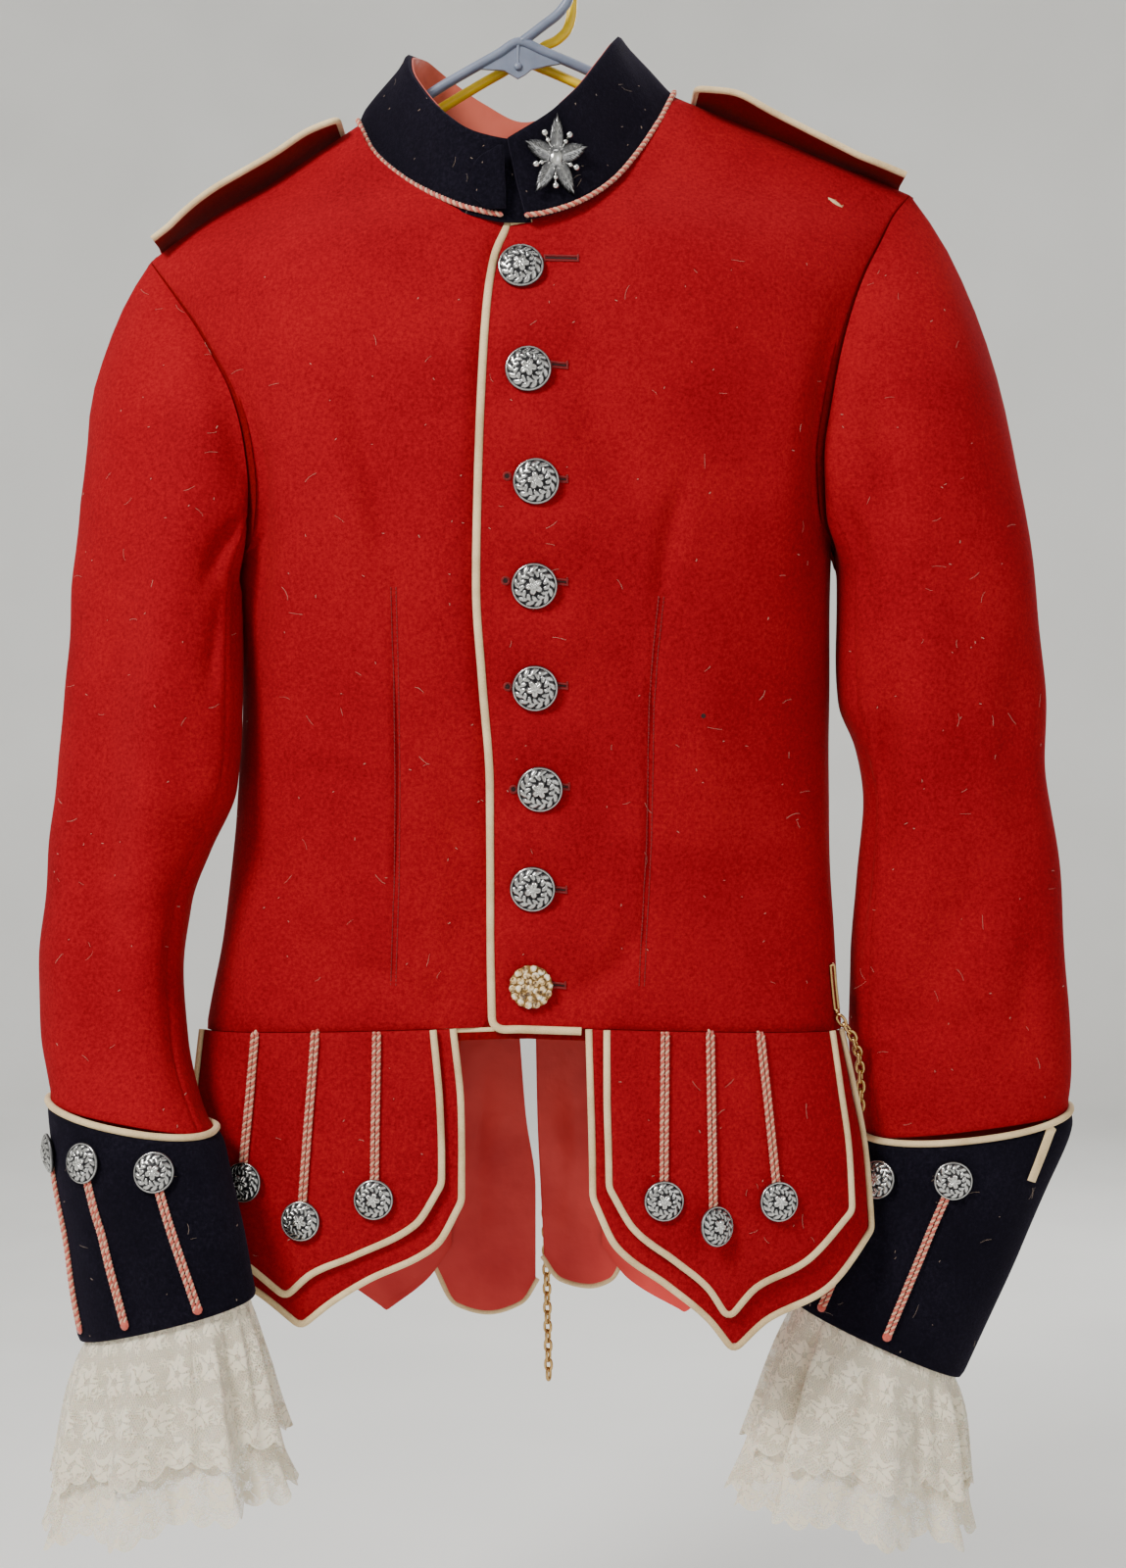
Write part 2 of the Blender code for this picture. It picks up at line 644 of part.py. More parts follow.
def button(name, seat, normal, radius, finish, sides=8):
    """A domed button on its seat, with its back towards the cloth."""
    turn = normal.to_track_quat("Z", "Y")
    points = []
    for reach, height in BUTTON_PROFILE:
        for j in range(sides):
            angle = 2 * math.pi * j / sides
            points.append(Vector((reach * math.cos(angle), reach * math.sin(angle), height)))
    points.append(Vector((0, 0, BUTTON_TOP)))
    points = [seat + turn @ (p * radius) for p in points]
    faces = [tuple(range(sides))[::-1]]
    for i in range(len(BUTTON_PROFILE) - 1):
        for j in range(sides):
            k = (j + 1) % sides
            faces.append((i * sides + j, i * sides + k, (i + 1) * sides + k, (i + 1) * sides + j))
    base = (len(BUTTON_PROFILE) - 1) * sides
    for j in range(sides):
        faces.append((base + j, base + (j + 1) % sides, len(points) - 1))
    return add_object(name, points, faces, finish)


def make_panels(scarlet):
    for face, side in PANELS:
        columns = UNDER_COLUMNS if (face, side) == (FRONT, RIGHT) else PANEL_COLUMNS
        grid = [[panel_point(face, side, across, row) for across in columns] for row in range(LAST_ROW + 1)]
        name = ("front_" if face == FRONT else "back_") + SIDE_NAME[side]
        wall(name, grid, scarlet, inside=(0.1 * side, -face * 0.5, -0.3), face=face)


def make_sleeves(scarlet):
    downs = [0, 0.14, 0.32, 0.52, 0.76, 1, 2, 3, 4, 5, 6, 7, 8, 9, 9.9]
    start, end = SEAM_ANGLES
    steps = 8
    for side in (LEFT, RIGHT):
        for part, low, high in (("top", end - 360, start), ("under", start, end)):
            angles = [low + SEAM_TURN + (high - low - 2 * SEAM_TURN) * j / (steps - 1) for j in range(steps)]
            grid = [[sleeve_point(side, angle, down) for angle in angles] for down in downs]

            def surface(down, angle, side=side):
                return sleeve_point(side, angle, down)

            normals = surface_normals(surface, downs, angles, 0.04, 3, (0, downs[-1]))
            middle = ring_middle(side, 4)
            wall(f"sleeve_{part}_{SIDE_NAME[side]}", grid, scarlet, inside=middle, normal=normals)


def ring_middle(side, ring):
    return (ring_point(side, ring, 0) + ring_point(side, ring, 180)) / 2


def cuff_top(side, angle):
    """How far down the sleeve the cuff's top edge lies."""
    front = max(0.0, math.sin(math.radians(angle)))
    return CUFF_RING - 0.15 + CUFF_DIP / (55 * MM) * front


def make_cuffs(navy, cream):
    around = 24
    cuff_out, cuff_thick = CUFF_OUT, CUFF_THICK
    for side in (LEFT, RIGHT):
        grid = []
        for step in (0, 0.33, 0.66, 1):
            line = []
            for j in range(around):
                angle = 360 * j / around
                ring = cuff_top(side, angle) + (HEM_RING - cuff_top(side, angle)) * step
                line.append(ring_point(side, ring, angle, cuff_out))
            grid.append(line)
        wall(f"cuff_{SIDE_NAME[side]}", grid, navy, thick=cuff_thick, round_about=True)
        route = []
        for j in range(around):
            angle = 360 * j / around
            here = ring_point(side, cuff_top(side, angle), angle, 1.4 * MM + PIPING_RADIUS)
            above = ring_point(side, cuff_top(side, angle) - 0.2, angle, 1.4 * MM + PIPING_RADIUS)
            route.append(here + (above - here).normalized() * (PIPING_RADIUS + 1.0 * MM))
        ring_tube(f"cuff_piping_{SIDE_NAME[side]}", route, PIPING_RADIUS, cream)


LACE_WAVES = 9
LACE_TIERS = {  # drop below the cuff in mm, spread, depth of the waves in mm, how far in from the cuff in mm
    "upper": [(-9, 0.0, 0.0, 0.1), (0.5, 0.0, 0.0, 0.1), (12, 0.05, 1.8, -0.3), (42, 0.2, 4.5, 0.0), (76, 0.32, 5.5, -2.0)],
    "lower": [(-9, 0.0, 0.0, 2.0), (0.5, 0.0, 0.0, 2.1), (12, 0.05, 1.8, 2.2), (40, 0.19, 4.5, 5.0), (80, 0.33, 5.5, 3.5), (106, 0.42, 7.0, 0.0)],
}
LACE_DRIFT = {RIGHT: 0.02, LEFT: -0.14}  # how far each frill hangs to the side, by its drop
LACE_LEVEL = {RIGHT: 0.8, LEFT: 2.5}  # how soon each frill's edge comes level
LACE_SPREAD = 52 * MM


def lace_point(side, tier_row, angle):
    drop, spread, wave, inset = tier_row
    hem = ring_point(side, HEM_RING, angle, -inset * MM)
    middle = ring_middle(side, HEM_RING)
    if drop < 0:
        above = ring_point(side, HEM_RING + drop / 50, angle, -inset * MM)
        return above
    outward = (hem - middle).normalized()
    way = Vector((LACE_DRIFT[side], 0, -1)).normalized()
    wobble = wave * MM * math.cos(math.radians(angle) * LACE_WAVES)
    scallop = 2.5 * MM * math.cos(math.radians(angle) * LACE_WAVES) * min(drop / 60, 1)
    level = Vector((0, 0, (middle.z - hem.z) * spread * LACE_LEVEL[side]))
    return hem + way * (drop * MM + scallop) + outward * (spread * LACE_SPREAD + wobble) + level


def make_lace(ivory):
    around = 4 * LACE_WAVES
    for side in (LEFT, RIGHT):
        for tier, rows in LACE_TIERS.items():
            grid = [[lace_point(side, row, 360 * j / around) for j in range(around)] for row in rows]
            wall(f"lace_{tier}_{SIDE_NAME[side]}", grid, ivory, thick=LACE, round_about=True)


def waist_z(face, x):
    """The waist seam's height, the same as the panels' lowest row."""
    side = side_of(x)
    in_x, in_z, out_x, out_z = PANELS[(face, side)].at(LAST_ROW)
    share = min(max((x - in_x) / (out_x - in_x), 0.0), 1.0)
    return in_z + (out_z - in_z) * share


def flap_point(shape, face, across, down, out):
    """A point on a flap: across runs between its edges, down from the waist to its lower edge."""
    edges, hem = shape
    edge_table, hem_table = Table("z near far", edges), Table("low across", [(a, z) for z, a in hem])
    low = hem_table.at(across, "across")
    near, far = edge_table.at(WAIST_FRONT)
    top = waist_z(face, near + (far - near) * across) - WAIST_GAP
    z = top + (low - top) * down
    near, far = edge_table.at(z)
    return body_point(near + (far - near) * across, z, face, out)


FLAP_ACROSS = (0, 0.08, 0.2, 0.34, 0.47, 0.59, 0.72, 0.86, 1)
FLAP_DOWN = (0, 0.22, 0.44, 0.66, 0.85, 1)


def flap_outline(shape, face, out, overhang):
    """The route of the piping round a flap, from the waist down one side and up the other."""
    inner = [(0, down) for down in FLAP_DOWN[:-1]]
    hem = [(across, 1) for across in FLAP_ACROSS]
    outer = [(1, down) for down in FLAP_DOWN[-2::-1]]
    route = [flap_point(shape, face, a, d, out) for a, d in inner + hem + outer]
    centre = flap_point(shape, face, 0.5, 0.5, out)
    moved = []
    for i, here in enumerate(route):
        ahead = route[min(i + 1, len(route) - 1)] - route[max(i - 1, 0)]
        normal = Vector((0, face, 0))
        off = ahead.cross(normal).normalized()
        if off.dot(here - centre) < 0:
            off = -off
        moved.append(here + off * overhang)
    return moved


def make_flaps(scarlet, cream):
    seat = {"top": FLAP_LAYER, "under": 0.0}
    piping_seat = {"top": FLAP_LAYER - 0.1 * MM, "under": -1.0 * MM}
    for (layer, side), shape in FLAPS.items():
        out = seat[layer]
        grid = [[flap_point(shape, FRONT, a, d, out) for a in FLAP_ACROSS] for d in FLAP_DOWN]
        name = f"flap_{layer}_{SIDE_NAME[side]}"
        wall(name, grid, scarlet, inside=(0, 0.5, -0.7))
        route = flap_outline(shape, FRONT, piping_seat[layer], PIPING_RADIUS + 3 * GAP)
        tube(f"{name}_piping", route, PIPING_RADIUS, cream)


def make_tails(scarlet, lining):
    for shapes, name, finish, out in ((BACK_FLAPS, "back_flap", scarlet, 0.0), (TAILS, "tail", lining, LAYER)):
        for side, shape in shapes.items():
            grid = [[flap_point(shape, BACK, j / 7, i / 4, out) for j in range(8)] for i in range(5)]
            wall(f"{name}_{SIDE_NAME[side]}", grid, finish, inside=(0, -0.5, -0.7))


def make_front_piping(cream):
    """Cream piping down the over front's edge and along the bottom to the first flap."""
    route = []
    for i in range(24):
        z = (-186 - (636 - 186) * i / 23) * MM
        x = FRONT_EDGE.at(min(z, -187 * MM), "x") - PIPING_RADIUS - GAP
        route.append(body_point(x, z, FRONT, 0.9 * MM))
    for x in (-8, 4, 16, 28, 36):
        low = waist_z(FRONT, x * MM) - PIPING_RADIUS - 2 * GAP
        route.append(body_point(x * MM, low, FRONT, 0.4 * MM))
    tube("front_piping", route, PIPING_RADIUS, cream)


def make_buttons(silver, gilt):
    fronts = tree_of(["front_left", "front_right"])
    for number, (x, z) in enumerate(FRONT_BUTTONS, 1):
        x, z = x * MM, z * MM
        finish = gilt if number == len(FRONT_BUTTONS) else silver
        normal = body_normal(x, z, FRONT)
        seat = seated(body_point(x, z, FRONT), normal, FRONT_BUTTON_RADIUS * BUTTON_BACK, fronts)
        button(f"front_button_{number}", seat, normal, FRONT_BUTTON_RADIUS, finish, 10)
    for side, places in FLAP_BUTTONS.items():
        flap = tree_of([f"flap_top_{SIDE_NAME[side]}"])
        for number, (x, z) in enumerate(places, 1):
            x, z = x * MM, z * MM
            normal = body_normal(x, z, FRONT)
            place = body_point(x, z, FRONT, FLAP_LAYER)
            seat = seated(place, normal, SMALL_BUTTON_RADIUS * BUTTON_BACK, flap)
            button(f"flap_button_{SIDE_NAME[side]}_{number}", seat, normal, SMALL_BUTTON_RADIUS, silver)
    for side, angles in CUFF_BUTTON_ANGLES.items():
        cuff = tree_of([f"cuff_{SIDE_NAME[side]}"])
        for number, angle in enumerate(angles, 1):
            place, normal = cuff_place(side, CUFF_BUTTON_RING, angle)
            seat = seated(place, normal, SMALL_BUTTON_RADIUS * BUTTON_BACK, cuff)
            button(f"cuff_button_{SIDE_NAME[side]}_{number}", seat, normal, SMALL_BUTTON_RADIUS, silver)


def cuff_place(side, ring, angle):
    """A place on the cuff's outside and the way that it faces."""
    out = CUFF_OUT
    here = ring_point(side, ring, angle, out)
    across = ring_point(side, ring, angle + 6, out) - ring_point(side, ring, angle - 6, out)
    down = ring_point(side, ring + 0.1, angle, out) - ring_point(side, ring - 0.1, angle, out)
    normal = across.cross(down).normalized()
    if normal.dot(here - ring_middle(side, ring)) < 0:
        normal = -normal
    return here, normal


def make_collar(navy, lining, salmon, silver):
    base = resampled([Vector(p) * MM for p in COLLAR_BASE], 37)
    top = resampled([Vector(p) * MM for p in COLLAR_TOP], 37)
    middle = (sum(base, Vector()) + sum(top, Vector())) / (2 * len(base))
    grid = [[base[i].lerp(top[i], share) for i in range(1, len(base))] for share in (0.03, 0.5, 1.0)]
    outer = np.array([[tuple(p) for p in row] for row in grid])
    normals = sheet_normals(outer, False)
    if (normals * (np.array(middle) - outer)).sum() < 0:
        normals = -normals
    wall("collar", grid, navy, thick=COLLAR_THICK, inside=middle)
    inner = (outer + normals * (COLLAR_THICK + 1.9 * MM))[:, 3:-5]
    wall("collar_lining", inner, lining, thick=1.0 * MM, inside=middle, normal=normals[:, 3:-5])
    cord = []
    for i in range(1, len(base) - 1):
        up = (top[i] - base[i]).normalized()
        along = (base[i + 1] - base[i - 1]).normalized()
        out = along.cross(up)
        if out.dot(base[i] - middle) < 0:
            out = -out
        cord.append(base[i] + up * 3.2 * MM + out * (CORD_RADIUS + 0.9 * MM))
    tube("collar_cord", cord, CORD_RADIUS, salmon, sides=5)
    make_badge(silver, base, top)


def make_tab(navy):
    """The rounded tongue on the collar's front end, over the under side of the collar."""
    grid = []
    for z, left, right in COLLAR_TAB:
        line = []
        for j in range(4):
            x = left + (right - left) * j / 3
            line.append(Vector((x, TAB_Y - TAB_TURN * (x - right), z)) * MM)
        grid.append(line)
    wall("collar_tab", grid, navy, inside=(0, 0.5, -0.15))


def make_badge(silver, base, top):
    """A flat sprig of leaves with a round boss, pinned to the collar."""
    i = min(range(1, len(base) // 3), key=lambda k: abs((base[k].x + top[k].x) / 2 - BADGE_X))
    up = (top[i] - base[i]).normalized()
    along = (base[i + 1] - base[i - 1]).normalized()
    out = along.cross(up).normalized()
    if out.y > 0:
        out = -out
    seat = base[i].lerp(top[i], 0.52) + out * 1.0 * MM
    count = 6 * BADGE_LEAVES
    points = []
    for lift in (0.0, BADGE_THICK):
        for j in range(count):
            turn = 2 * math.pi * j / count
            leaf = abs(math.cos(BADGE_LEAVES * turn / 2))
            reach = 0.42 + 0.58 * leaf
            flat = along * BADGE_HALF[0] * reach * math.cos(turn) + up * BADGE_HALF[1] * reach * math.sin(turn)
            points.append(seat + flat + out * lift)
    faces = [tuple(range(count))[::-1], tuple(range(count, 2 * count))]
    faces += [(j, (j + 1) % count, count + (j + 1) % count, count + j) for j in range(count)]
    add_object("badge", points, faces, silver)


def make_straps(scarlet):
    for side, edge in STRAP_EDGE.items():
        grid = []
        for x, z in edge:
            front = Vector((x * MM, STRAP_FRONT_Y, z * MM))
            line = []
            for j in range(6):
                share = j / 5
                y = STRAP_FRONT_Y + (STRAP_BACK_Y - STRAP_FRONT_Y) * share
                ridge_z = RIDGE[side].at(abs(x) * MM, "z")
                lift = z * MM - ridge_z
                rest = ridge_z + 3.2 * MM - 6 * MM * max(0.0, share - 0.5) * 2
                height = max(rest, ridge_z + lift * (1 - share) ** 1.2 + 3.2 * MM * share)
                line.append(Vector((x * MM, y, height)))
            grid.append(line)
        wall(f"strap_{SIDE_NAME[side]}", grid, scarlet, thick=2.4 * MM, inside=(0, 0, -3))


def joined(keep, added):
    """Fuses one rod to another, as moulded in one piece."""
    added.hide_render = True
    added.display_type = "WIRE"
    fuse = keep.modifiers.new(f"join_{added.name}", "BOOLEAN")
    fuse.operation = "UNION"
    fuse.object = added


def make_gusset(finish):
    count = len(GUSSET)
    points = [(x * MM, way * GUSSET_HALF, z * MM) for way in (-1, 1) for x, z in GUSSET]
    faces = [tuple(range(count)), tuple(range(count, 2 * count))[::-1]]
    faces += [(j, count + j, count + (j + 1) % count, (j + 1) % count) for j in range(count)]
    return add_object("hanger_blue_web", points, faces, finish)


def make_hangers(blue, yellow):
    for name, arms, hook, y, finish in (
        ("hanger_blue", BLUE_ARMS, BLUE_HOOK, 0.0, blue),
        ("hanger_yellow", YELLOW_ARMS, YELLOW_HOOK, YELLOW_Y, yellow),
    ):
        arm_route = resampled([Vector((x * MM, y, z * MM)) for x, z in arms], 16)
        hook_route = resampled([Vector((x * MM, y, z * MM)) for x, z in hook], 16)
        rod = tube(name, arm_route, HANGER_RADIUS, finish, sides=7)
        joined(rod, tube(f"{name}_hook_rod", hook_route, HANGER_RADIUS, finish, sides=7))
        if name == "hanger_blue":
            joined(rod, make_gusset(finish))


def make_trim(gilt):
    front = tree_of(["front_left"])
    hook_route = []
    for point in SIDE_HOOK:
        place, normal, _, _ = front.find_nearest(Vector(point) * MM)
        hook_route.append(place + normal * (SIDE_HOOK_RADIUS + SEAT_GAP))
    tube("side_hook", hook_route, SIDE_HOOK_RADIUS, gilt)
    start = hook_route[-1] + Vector((0, 0, -SIDE_HOOK_RADIUS - 0.5 * GAP))
    chain = resampled([start] + [Vector(p) * MM for p in CHAIN], 40)
    tube("chain", chain, CHAIN_RADIUS, gilt, sides=5)


def clear_scene():
    for item in list(bpy.data.objects):
        bpy.data.objects.remove(item, do_unlink=True)


def main():
    clear_scene()
    scarlet = material("scarlet_wool", (0.58, 0.015, 0.006), 0.9)
    navy = material("navy_wool", (0.008, 0.007, 0.012), 0.9)
    cream = material("cream_piping", (0.68, 0.52, 0.33), 0.8)
    lining = material("salmon_lining", (0.58, 0.07, 0.06), 0.5)
    salmon = material("salmon_cord", (0.6, 0.2, 0.14), 0.7)
    ivory = material("ivory_lace", (0.75, 0.68, 0.55), 0.8)
    silver = material("old_silver", (0.5, 0.5, 0.5), 0.35, 1.0)
    gilt = material("gilt", (0.6, 0.42, 0.15), 0.35, 1.0)
    blue = material("blue_grey_plastic", (0.2, 0.24, 0.36), 0.4)
    yellow = material("yellow_plastic", (0.75, 0.5, 0.01), 0.4)
    make_panels(scarlet)
    make_sleeves(scarlet)
    make_cuffs(navy, cream)
    make_lace(ivory)
    make_flaps(scarlet, cream)
    make_tails(scarlet, lining)
    make_front_piping(cream)
    make_buttons(silver, gilt)
    make_collar(navy, lining, salmon, silver)
    make_tab(navy)
    make_straps(scarlet)
    make_hangers(blue, yellow)
    make_trim(gilt)


main()
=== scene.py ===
"""A highland doublet on two plastic hangers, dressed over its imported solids.

Metres, +Z up, front towards -Y, the wearer's left at +X, as in the part. Tables are in millimetres.
"""

import math

import bpy
import numpy as np
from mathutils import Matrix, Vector
from mathutils.bvhtree import BVHTree


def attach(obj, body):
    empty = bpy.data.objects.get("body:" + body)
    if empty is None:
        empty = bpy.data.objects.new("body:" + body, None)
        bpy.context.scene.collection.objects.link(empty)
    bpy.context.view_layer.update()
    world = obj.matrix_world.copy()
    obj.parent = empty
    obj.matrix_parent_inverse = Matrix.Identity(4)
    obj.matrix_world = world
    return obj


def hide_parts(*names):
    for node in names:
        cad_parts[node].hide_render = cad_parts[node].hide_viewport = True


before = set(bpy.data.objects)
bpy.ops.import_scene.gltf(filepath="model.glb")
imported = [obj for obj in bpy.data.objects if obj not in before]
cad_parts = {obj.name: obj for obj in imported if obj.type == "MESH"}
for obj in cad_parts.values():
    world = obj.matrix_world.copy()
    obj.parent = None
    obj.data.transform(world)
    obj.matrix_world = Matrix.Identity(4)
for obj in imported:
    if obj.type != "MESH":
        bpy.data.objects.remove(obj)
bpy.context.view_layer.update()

MM = 0.001
SEAM_HALF = 0.2 * MM
CLOTH = 2.0 * MM  # one wool wall with its backing
LAYER = 2.5 * MM  # one wall and a gap, for what lies on a panel
FLAP_LAYER = 3.3 * MM  # how far the top flap stands off the under flap
ROUNDNESS = 2.5  # superellipse power of the body's sections
SHOULDER_POWER = 1.8  # how the cloth rolls over the shoulder
FRONT_ROLL = 110 * MM  # height over which the front rolls to the ridge
BACK_ROLL = 60 * MM
COLLAR_THICK = 2.6 * MM
PIPING_RADIUS = 2.0 * MM
FRONT_BUTTON_RADIUS = 12.7 * MM
SMALL_BUTTON_RADIUS = 11.2 * MM
HANGER_RADIUS, HANGER_STEPS = 3.0 * MM, 140
WAIST_FRONT = -634 * MM
ARMPIT_ROW = 9
LEFT, RIGHT = 1, -1
FRONT, BACK = -1, 1
SIDE_NAME = {LEFT: "left", RIGHT: "right"}


def smooth(keys, values, key):
    """Values at key on a smooth curve through the rows, with no overshoot."""
    i = int(np.clip(np.searchsorted(keys, key) - 1, 0, len(keys) - 2))
    step = np.diff(keys)[:, None]
    slope = np.diff(values, axis=0) / step

    def tangent(j):
        if j in (0, len(keys) - 1):
            return slope[min(j, len(slope) - 1)]
        before, after = slope[j - 1], slope[j]
        same = before * after > 0
        both = np.where(same, before + after, 1.0)
        return np.where(same, 2 * before * after / both, 0.0)

    h = step[i, 0]
    t = (key - keys[i]) / h
    return (
        (2 * t**3 - 3 * t**2 + 1) * values[i]
        + (t**3 - 2 * t**2 + t) * h * tangent(i)
        + (3 * t**2 - 2 * t**3) * values[i + 1]
        + (t**3 - t**2) * h * tangent(i + 1)
    )


class Table:
    """Rows with named columns in millimetres. The key is the first column, or the row's number."""

    def __init__(self, columns, rows, numbered=False):
        self.columns = columns.split()
        data = np.array(rows, float) * MM
        if numbered:
            self.keys, self.values = np.arange(len(data), dtype=float), data
            self.names = self.columns
        else:
            data = data[np.argsort(data[:, 0])]
            self.keys, self.values = data[:, 0], data[:, 1:]
            self.names = self.columns[1:]

    def at(self, key, name=None):
        found = smooth(self.keys, self.values, key)
        return found if name is None else float(found[self.names.index(name)])


# The body's level sections, from the shoulders to the ends of the flaps.
BODY = Table(
    "z right left front back",
    [
        (-60, 235, 250, 36, 30),
        (-100, 235, 248, 40, 36),
        (-150, 228, 240, 54, 46),
        (-190, 222, 222, 78, 50),
        (-230, 200, 206, 88, 50),
        (-280, 181, 194, 95, 50),
        (-336, 170, 184, 96, 48),
        (-376, 165.5, 183, 93, 47),
        (-440, 162, 182, 84, 44),
        (-515, 166, 182, 72, 42),
        (-585, 174, 185, 65, 42),
        (-640, 184, 190, 63, 43),
        (-700, 196, 202, 66, 45),
        (-760, 204, 212, 68, 47),
        (-830, 208, 216, 69, 48),
    ],
)

# The shoulder ridge, from the neck out.
RIDGE = {
    RIGHT: Table("x z", [(0, -45), (95.5, -108.6), (144, -141.6), (188, -166.4), (240, -206)]),
    LEFT: Table("x z", [(0, -56), (91.9, -91.8), (150, -119.6), (200, -137), (250, -158)]),
}

# Each front and back panel by its rows: where a row starts at the middle or neck, and ends at the arm.
UPPER_ROWS = {
    (FRONT, RIGHT): [
        (-95.5, -108.6, -217.6, -190),
        (-85, -132, -208, -203),
        (-65, -154, -196, -219),
        (-44, -169.5, -183, -237),
        (-23, -180, -171, -257),
        (10, -187, -161, -276),
        (10, -230, -153, -303),
        (9, -280, -149.5, -333),
        (6, -330, -152, -357),
    ],
    (FRONT, LEFT): [
        (91.9, -91.8, 230.8, -150),
        (82.8, -108.6, 219, -165),
        (68.3, -134.5, 209, -184),
        (51.5, -157.8, 198, -205),
        (29.8, -174.9, 189, -228),
        (-4, -187, 182, -252),
        (-15, -230, 176, -281),
        (-18, -280, 171.5, -312),
        (-20, -330, 173, -342),
    ],
    (BACK, RIGHT): [
        (-95.5, -108.6, -217.6, -190),
        (-85, -124, -212, -201),
        (-66, -135, -205, -215),
        (-44, -141, -197, -232),
        (-22, -144, -188, -252),
        (-0.2, -144.5, -179, -274),
        (-0.2, -190, -169, -304),
        (-0.2, -240, -162, -334),
        (-0.2, -310, -161, -358),
    ],
    (BACK, LEFT): [
        (91.9, -91.8, 230.8, -150),
        (82, -110, 223, -163),
        (64, -127, 215, -180),
        (43, -138, 207, -199),
        (22, -143, 199, -222),
        (0.2, -144.5, 192, -247),
        (0.2, -190, 184, -278),
        (0.2, -240, 178, -311),
        (0.2, -310, 178.5, -343),
    ],
}
ARMPIT = {RIGHT: -376, LEFT: -364}
LOWER_ROWS = {  # middle height and side height of each row below the armpit, after the armpit's own
    FRONT: [(-420, -420), (-465, -465), (-510, -510), (-555, -555), (-597, -600), (-634, -641)],
    BACK: [(-420, -420), (-465, -465), (-510, -510), (-555, -555), (-600, -600), (-646, -641)],
}

# The over front's edge down the middle. The under front reaches this far past it.
FRONT_EDGE = Table(
    "z x",
    [
        (-187, -4), (-204, -11), (-230, -15), (-280, -18), (-336, -20),
        (-390, -21), (-440, -18), (-500, -14), (-580, -14), (-640, -13),
    ],
)
UNDERLAP = 26 * MM
UNDERLAP_RAMP = 12 * MM  # over which the under front dips below the over front

# The collar's seam and its top edge, once round from the front of the over side.
COLLAR_BASE = [
    (-3, -83.5, -186), (29.8, -75, -175), (51.5, -58, -158), (68.3, -38, -134.5), (82.8, -18, -108.6),
    (91.9, 2, -92), (84, 22, -108), (64, 37, -126), (38, 45, -139), (0, 48, -144),
    (-38, 45, -141), (-66, 36, -134), (-86, 22, -123), (-95.5, 2, -108.6), (-84.6, -20, -132),
    (-64.8, -43, -154), (-43.7, -62, -169.5), (-23.3, -75, -180), (-5, -79, -184), (8, -77.5, -184),
]
COLLAR_TOP = [
    (-5, -81, -139), (20.5, -73, -120.6), (35.4, -58, -103), (48, -40, -82), (56, -22, -66),
    (59, 0, -57), (54, 22, -64), (42, 36, -78), (24, 44, -90), (2, 47, -95),
    (-24, 44, -84), (-46, 36, -71), (-60, 20, -64), (-66, -2, -67.5), (-65, -22, -80),
    (-56, -42, -100), (-43.7, -58, -117), (-25, -71, -132), (-8, -75.5, -137.5), (4, -75, -139),
]

# The tongue at the collar's front end: its left and right edges by height.
COLLAR_TAB = [(-144, -10, -8), (-151, -22, -7.5), (-160, -26, -7), (-170, -25, -6.5), (-179, -18, -6.5)]
TAB_Y, TAB_TURN = -84.5, 0.2

# The badge: leaves round a boss.
BADGE_X, BADGE_LEAVES = 22 * MM, 5
BADGE_HALF = (20 * MM, 24 * MM)

# Rings of each sleeve and cuff: inner edge, outer edge, and how far it stands out in front and behind.
RING_COLUMNS = "in_x in_y in_z out_x out_y out_z front back"
SLEEVE_RINGS = {
    RIGHT: Table(
        RING_COLUMNS,
        [
            (-157, -38, -392, -259.5, -8, -370, 42, 40),
            (-157, -44, -428, -262.5, -10, -415, 42, 38),
            (-157, -46, -465, -266, -12, -456, 41, 36),
            (-160, -46, -500, -270, -14, -500, 40, 35),
            (-176, -38, -535, -273, -16, -535, 39, 34),
            (-188.5, -38, -568, -275.5, -20, -568, 38, 33),
            (-192, -41, -602, -276.7, -24, -602, 37, 32),
            (-189, -46, -643, -275, -30, -640, 36, 31),
            (-178, -62, -674, -270, -40, -663, 34, 28),
            (-167.5, -74, -694.5, -263.5, -52, -680.5, 33, 26),
            (-156, -86, -738, -252.5, -62, -744, 33, 25),
            (-146.5, -92, -780, -242, -68, -807, 33, 24),
        ],
        numbered=True,
    ),
    LEFT: Table(
        RING_COLUMNS,
        [
            (185, -22, -380, 299.5, -6, -364, 46, 42),
            (185, -18, -416, 305.5, -6, -412, 46, 41),
            (187, -15, -450, 308.5, -5, -450, 45, 40),
            (196, -12, -478, 309, -4, -480, 43, 39),
            (201, -6, -515, 313, -2, -515, 42, 38),
            (199.5, -2, -556, 318.2, 0, -556, 41, 37),
            (196, 3, -602, 322.3, 3, -602, 40, 36),
            (196, 8, -645, 325.8, 7, -640, 38, 35),
            (200, 12, -682, 327, 10, -670, 36, 34),
            (205, 16, -711, 326, 14, -696, 35, 33),
            (186, 17, -758, 295, 15, -772, 34, 31),
            (164, 18, -806, 260, 16, -849, 33, 29),
        ],
        numbered=True,
    ),
}
CUFF_RING, HEM_RING = 9, 11
CUFF_OUT = 3.6 * MM
CUFF_DIP = 12 * MM  # how much lower the cuff's top edge runs at the front
SLEEVE_CLEAR = 2.0 * MM  # between a sleeve and the body
SEAM_TURN = 0.35  # degrees that each sleeve panel stops short of the seam
SEAM_ANGLES = (150, 330)  # where the top sleeve meets the under sleeve

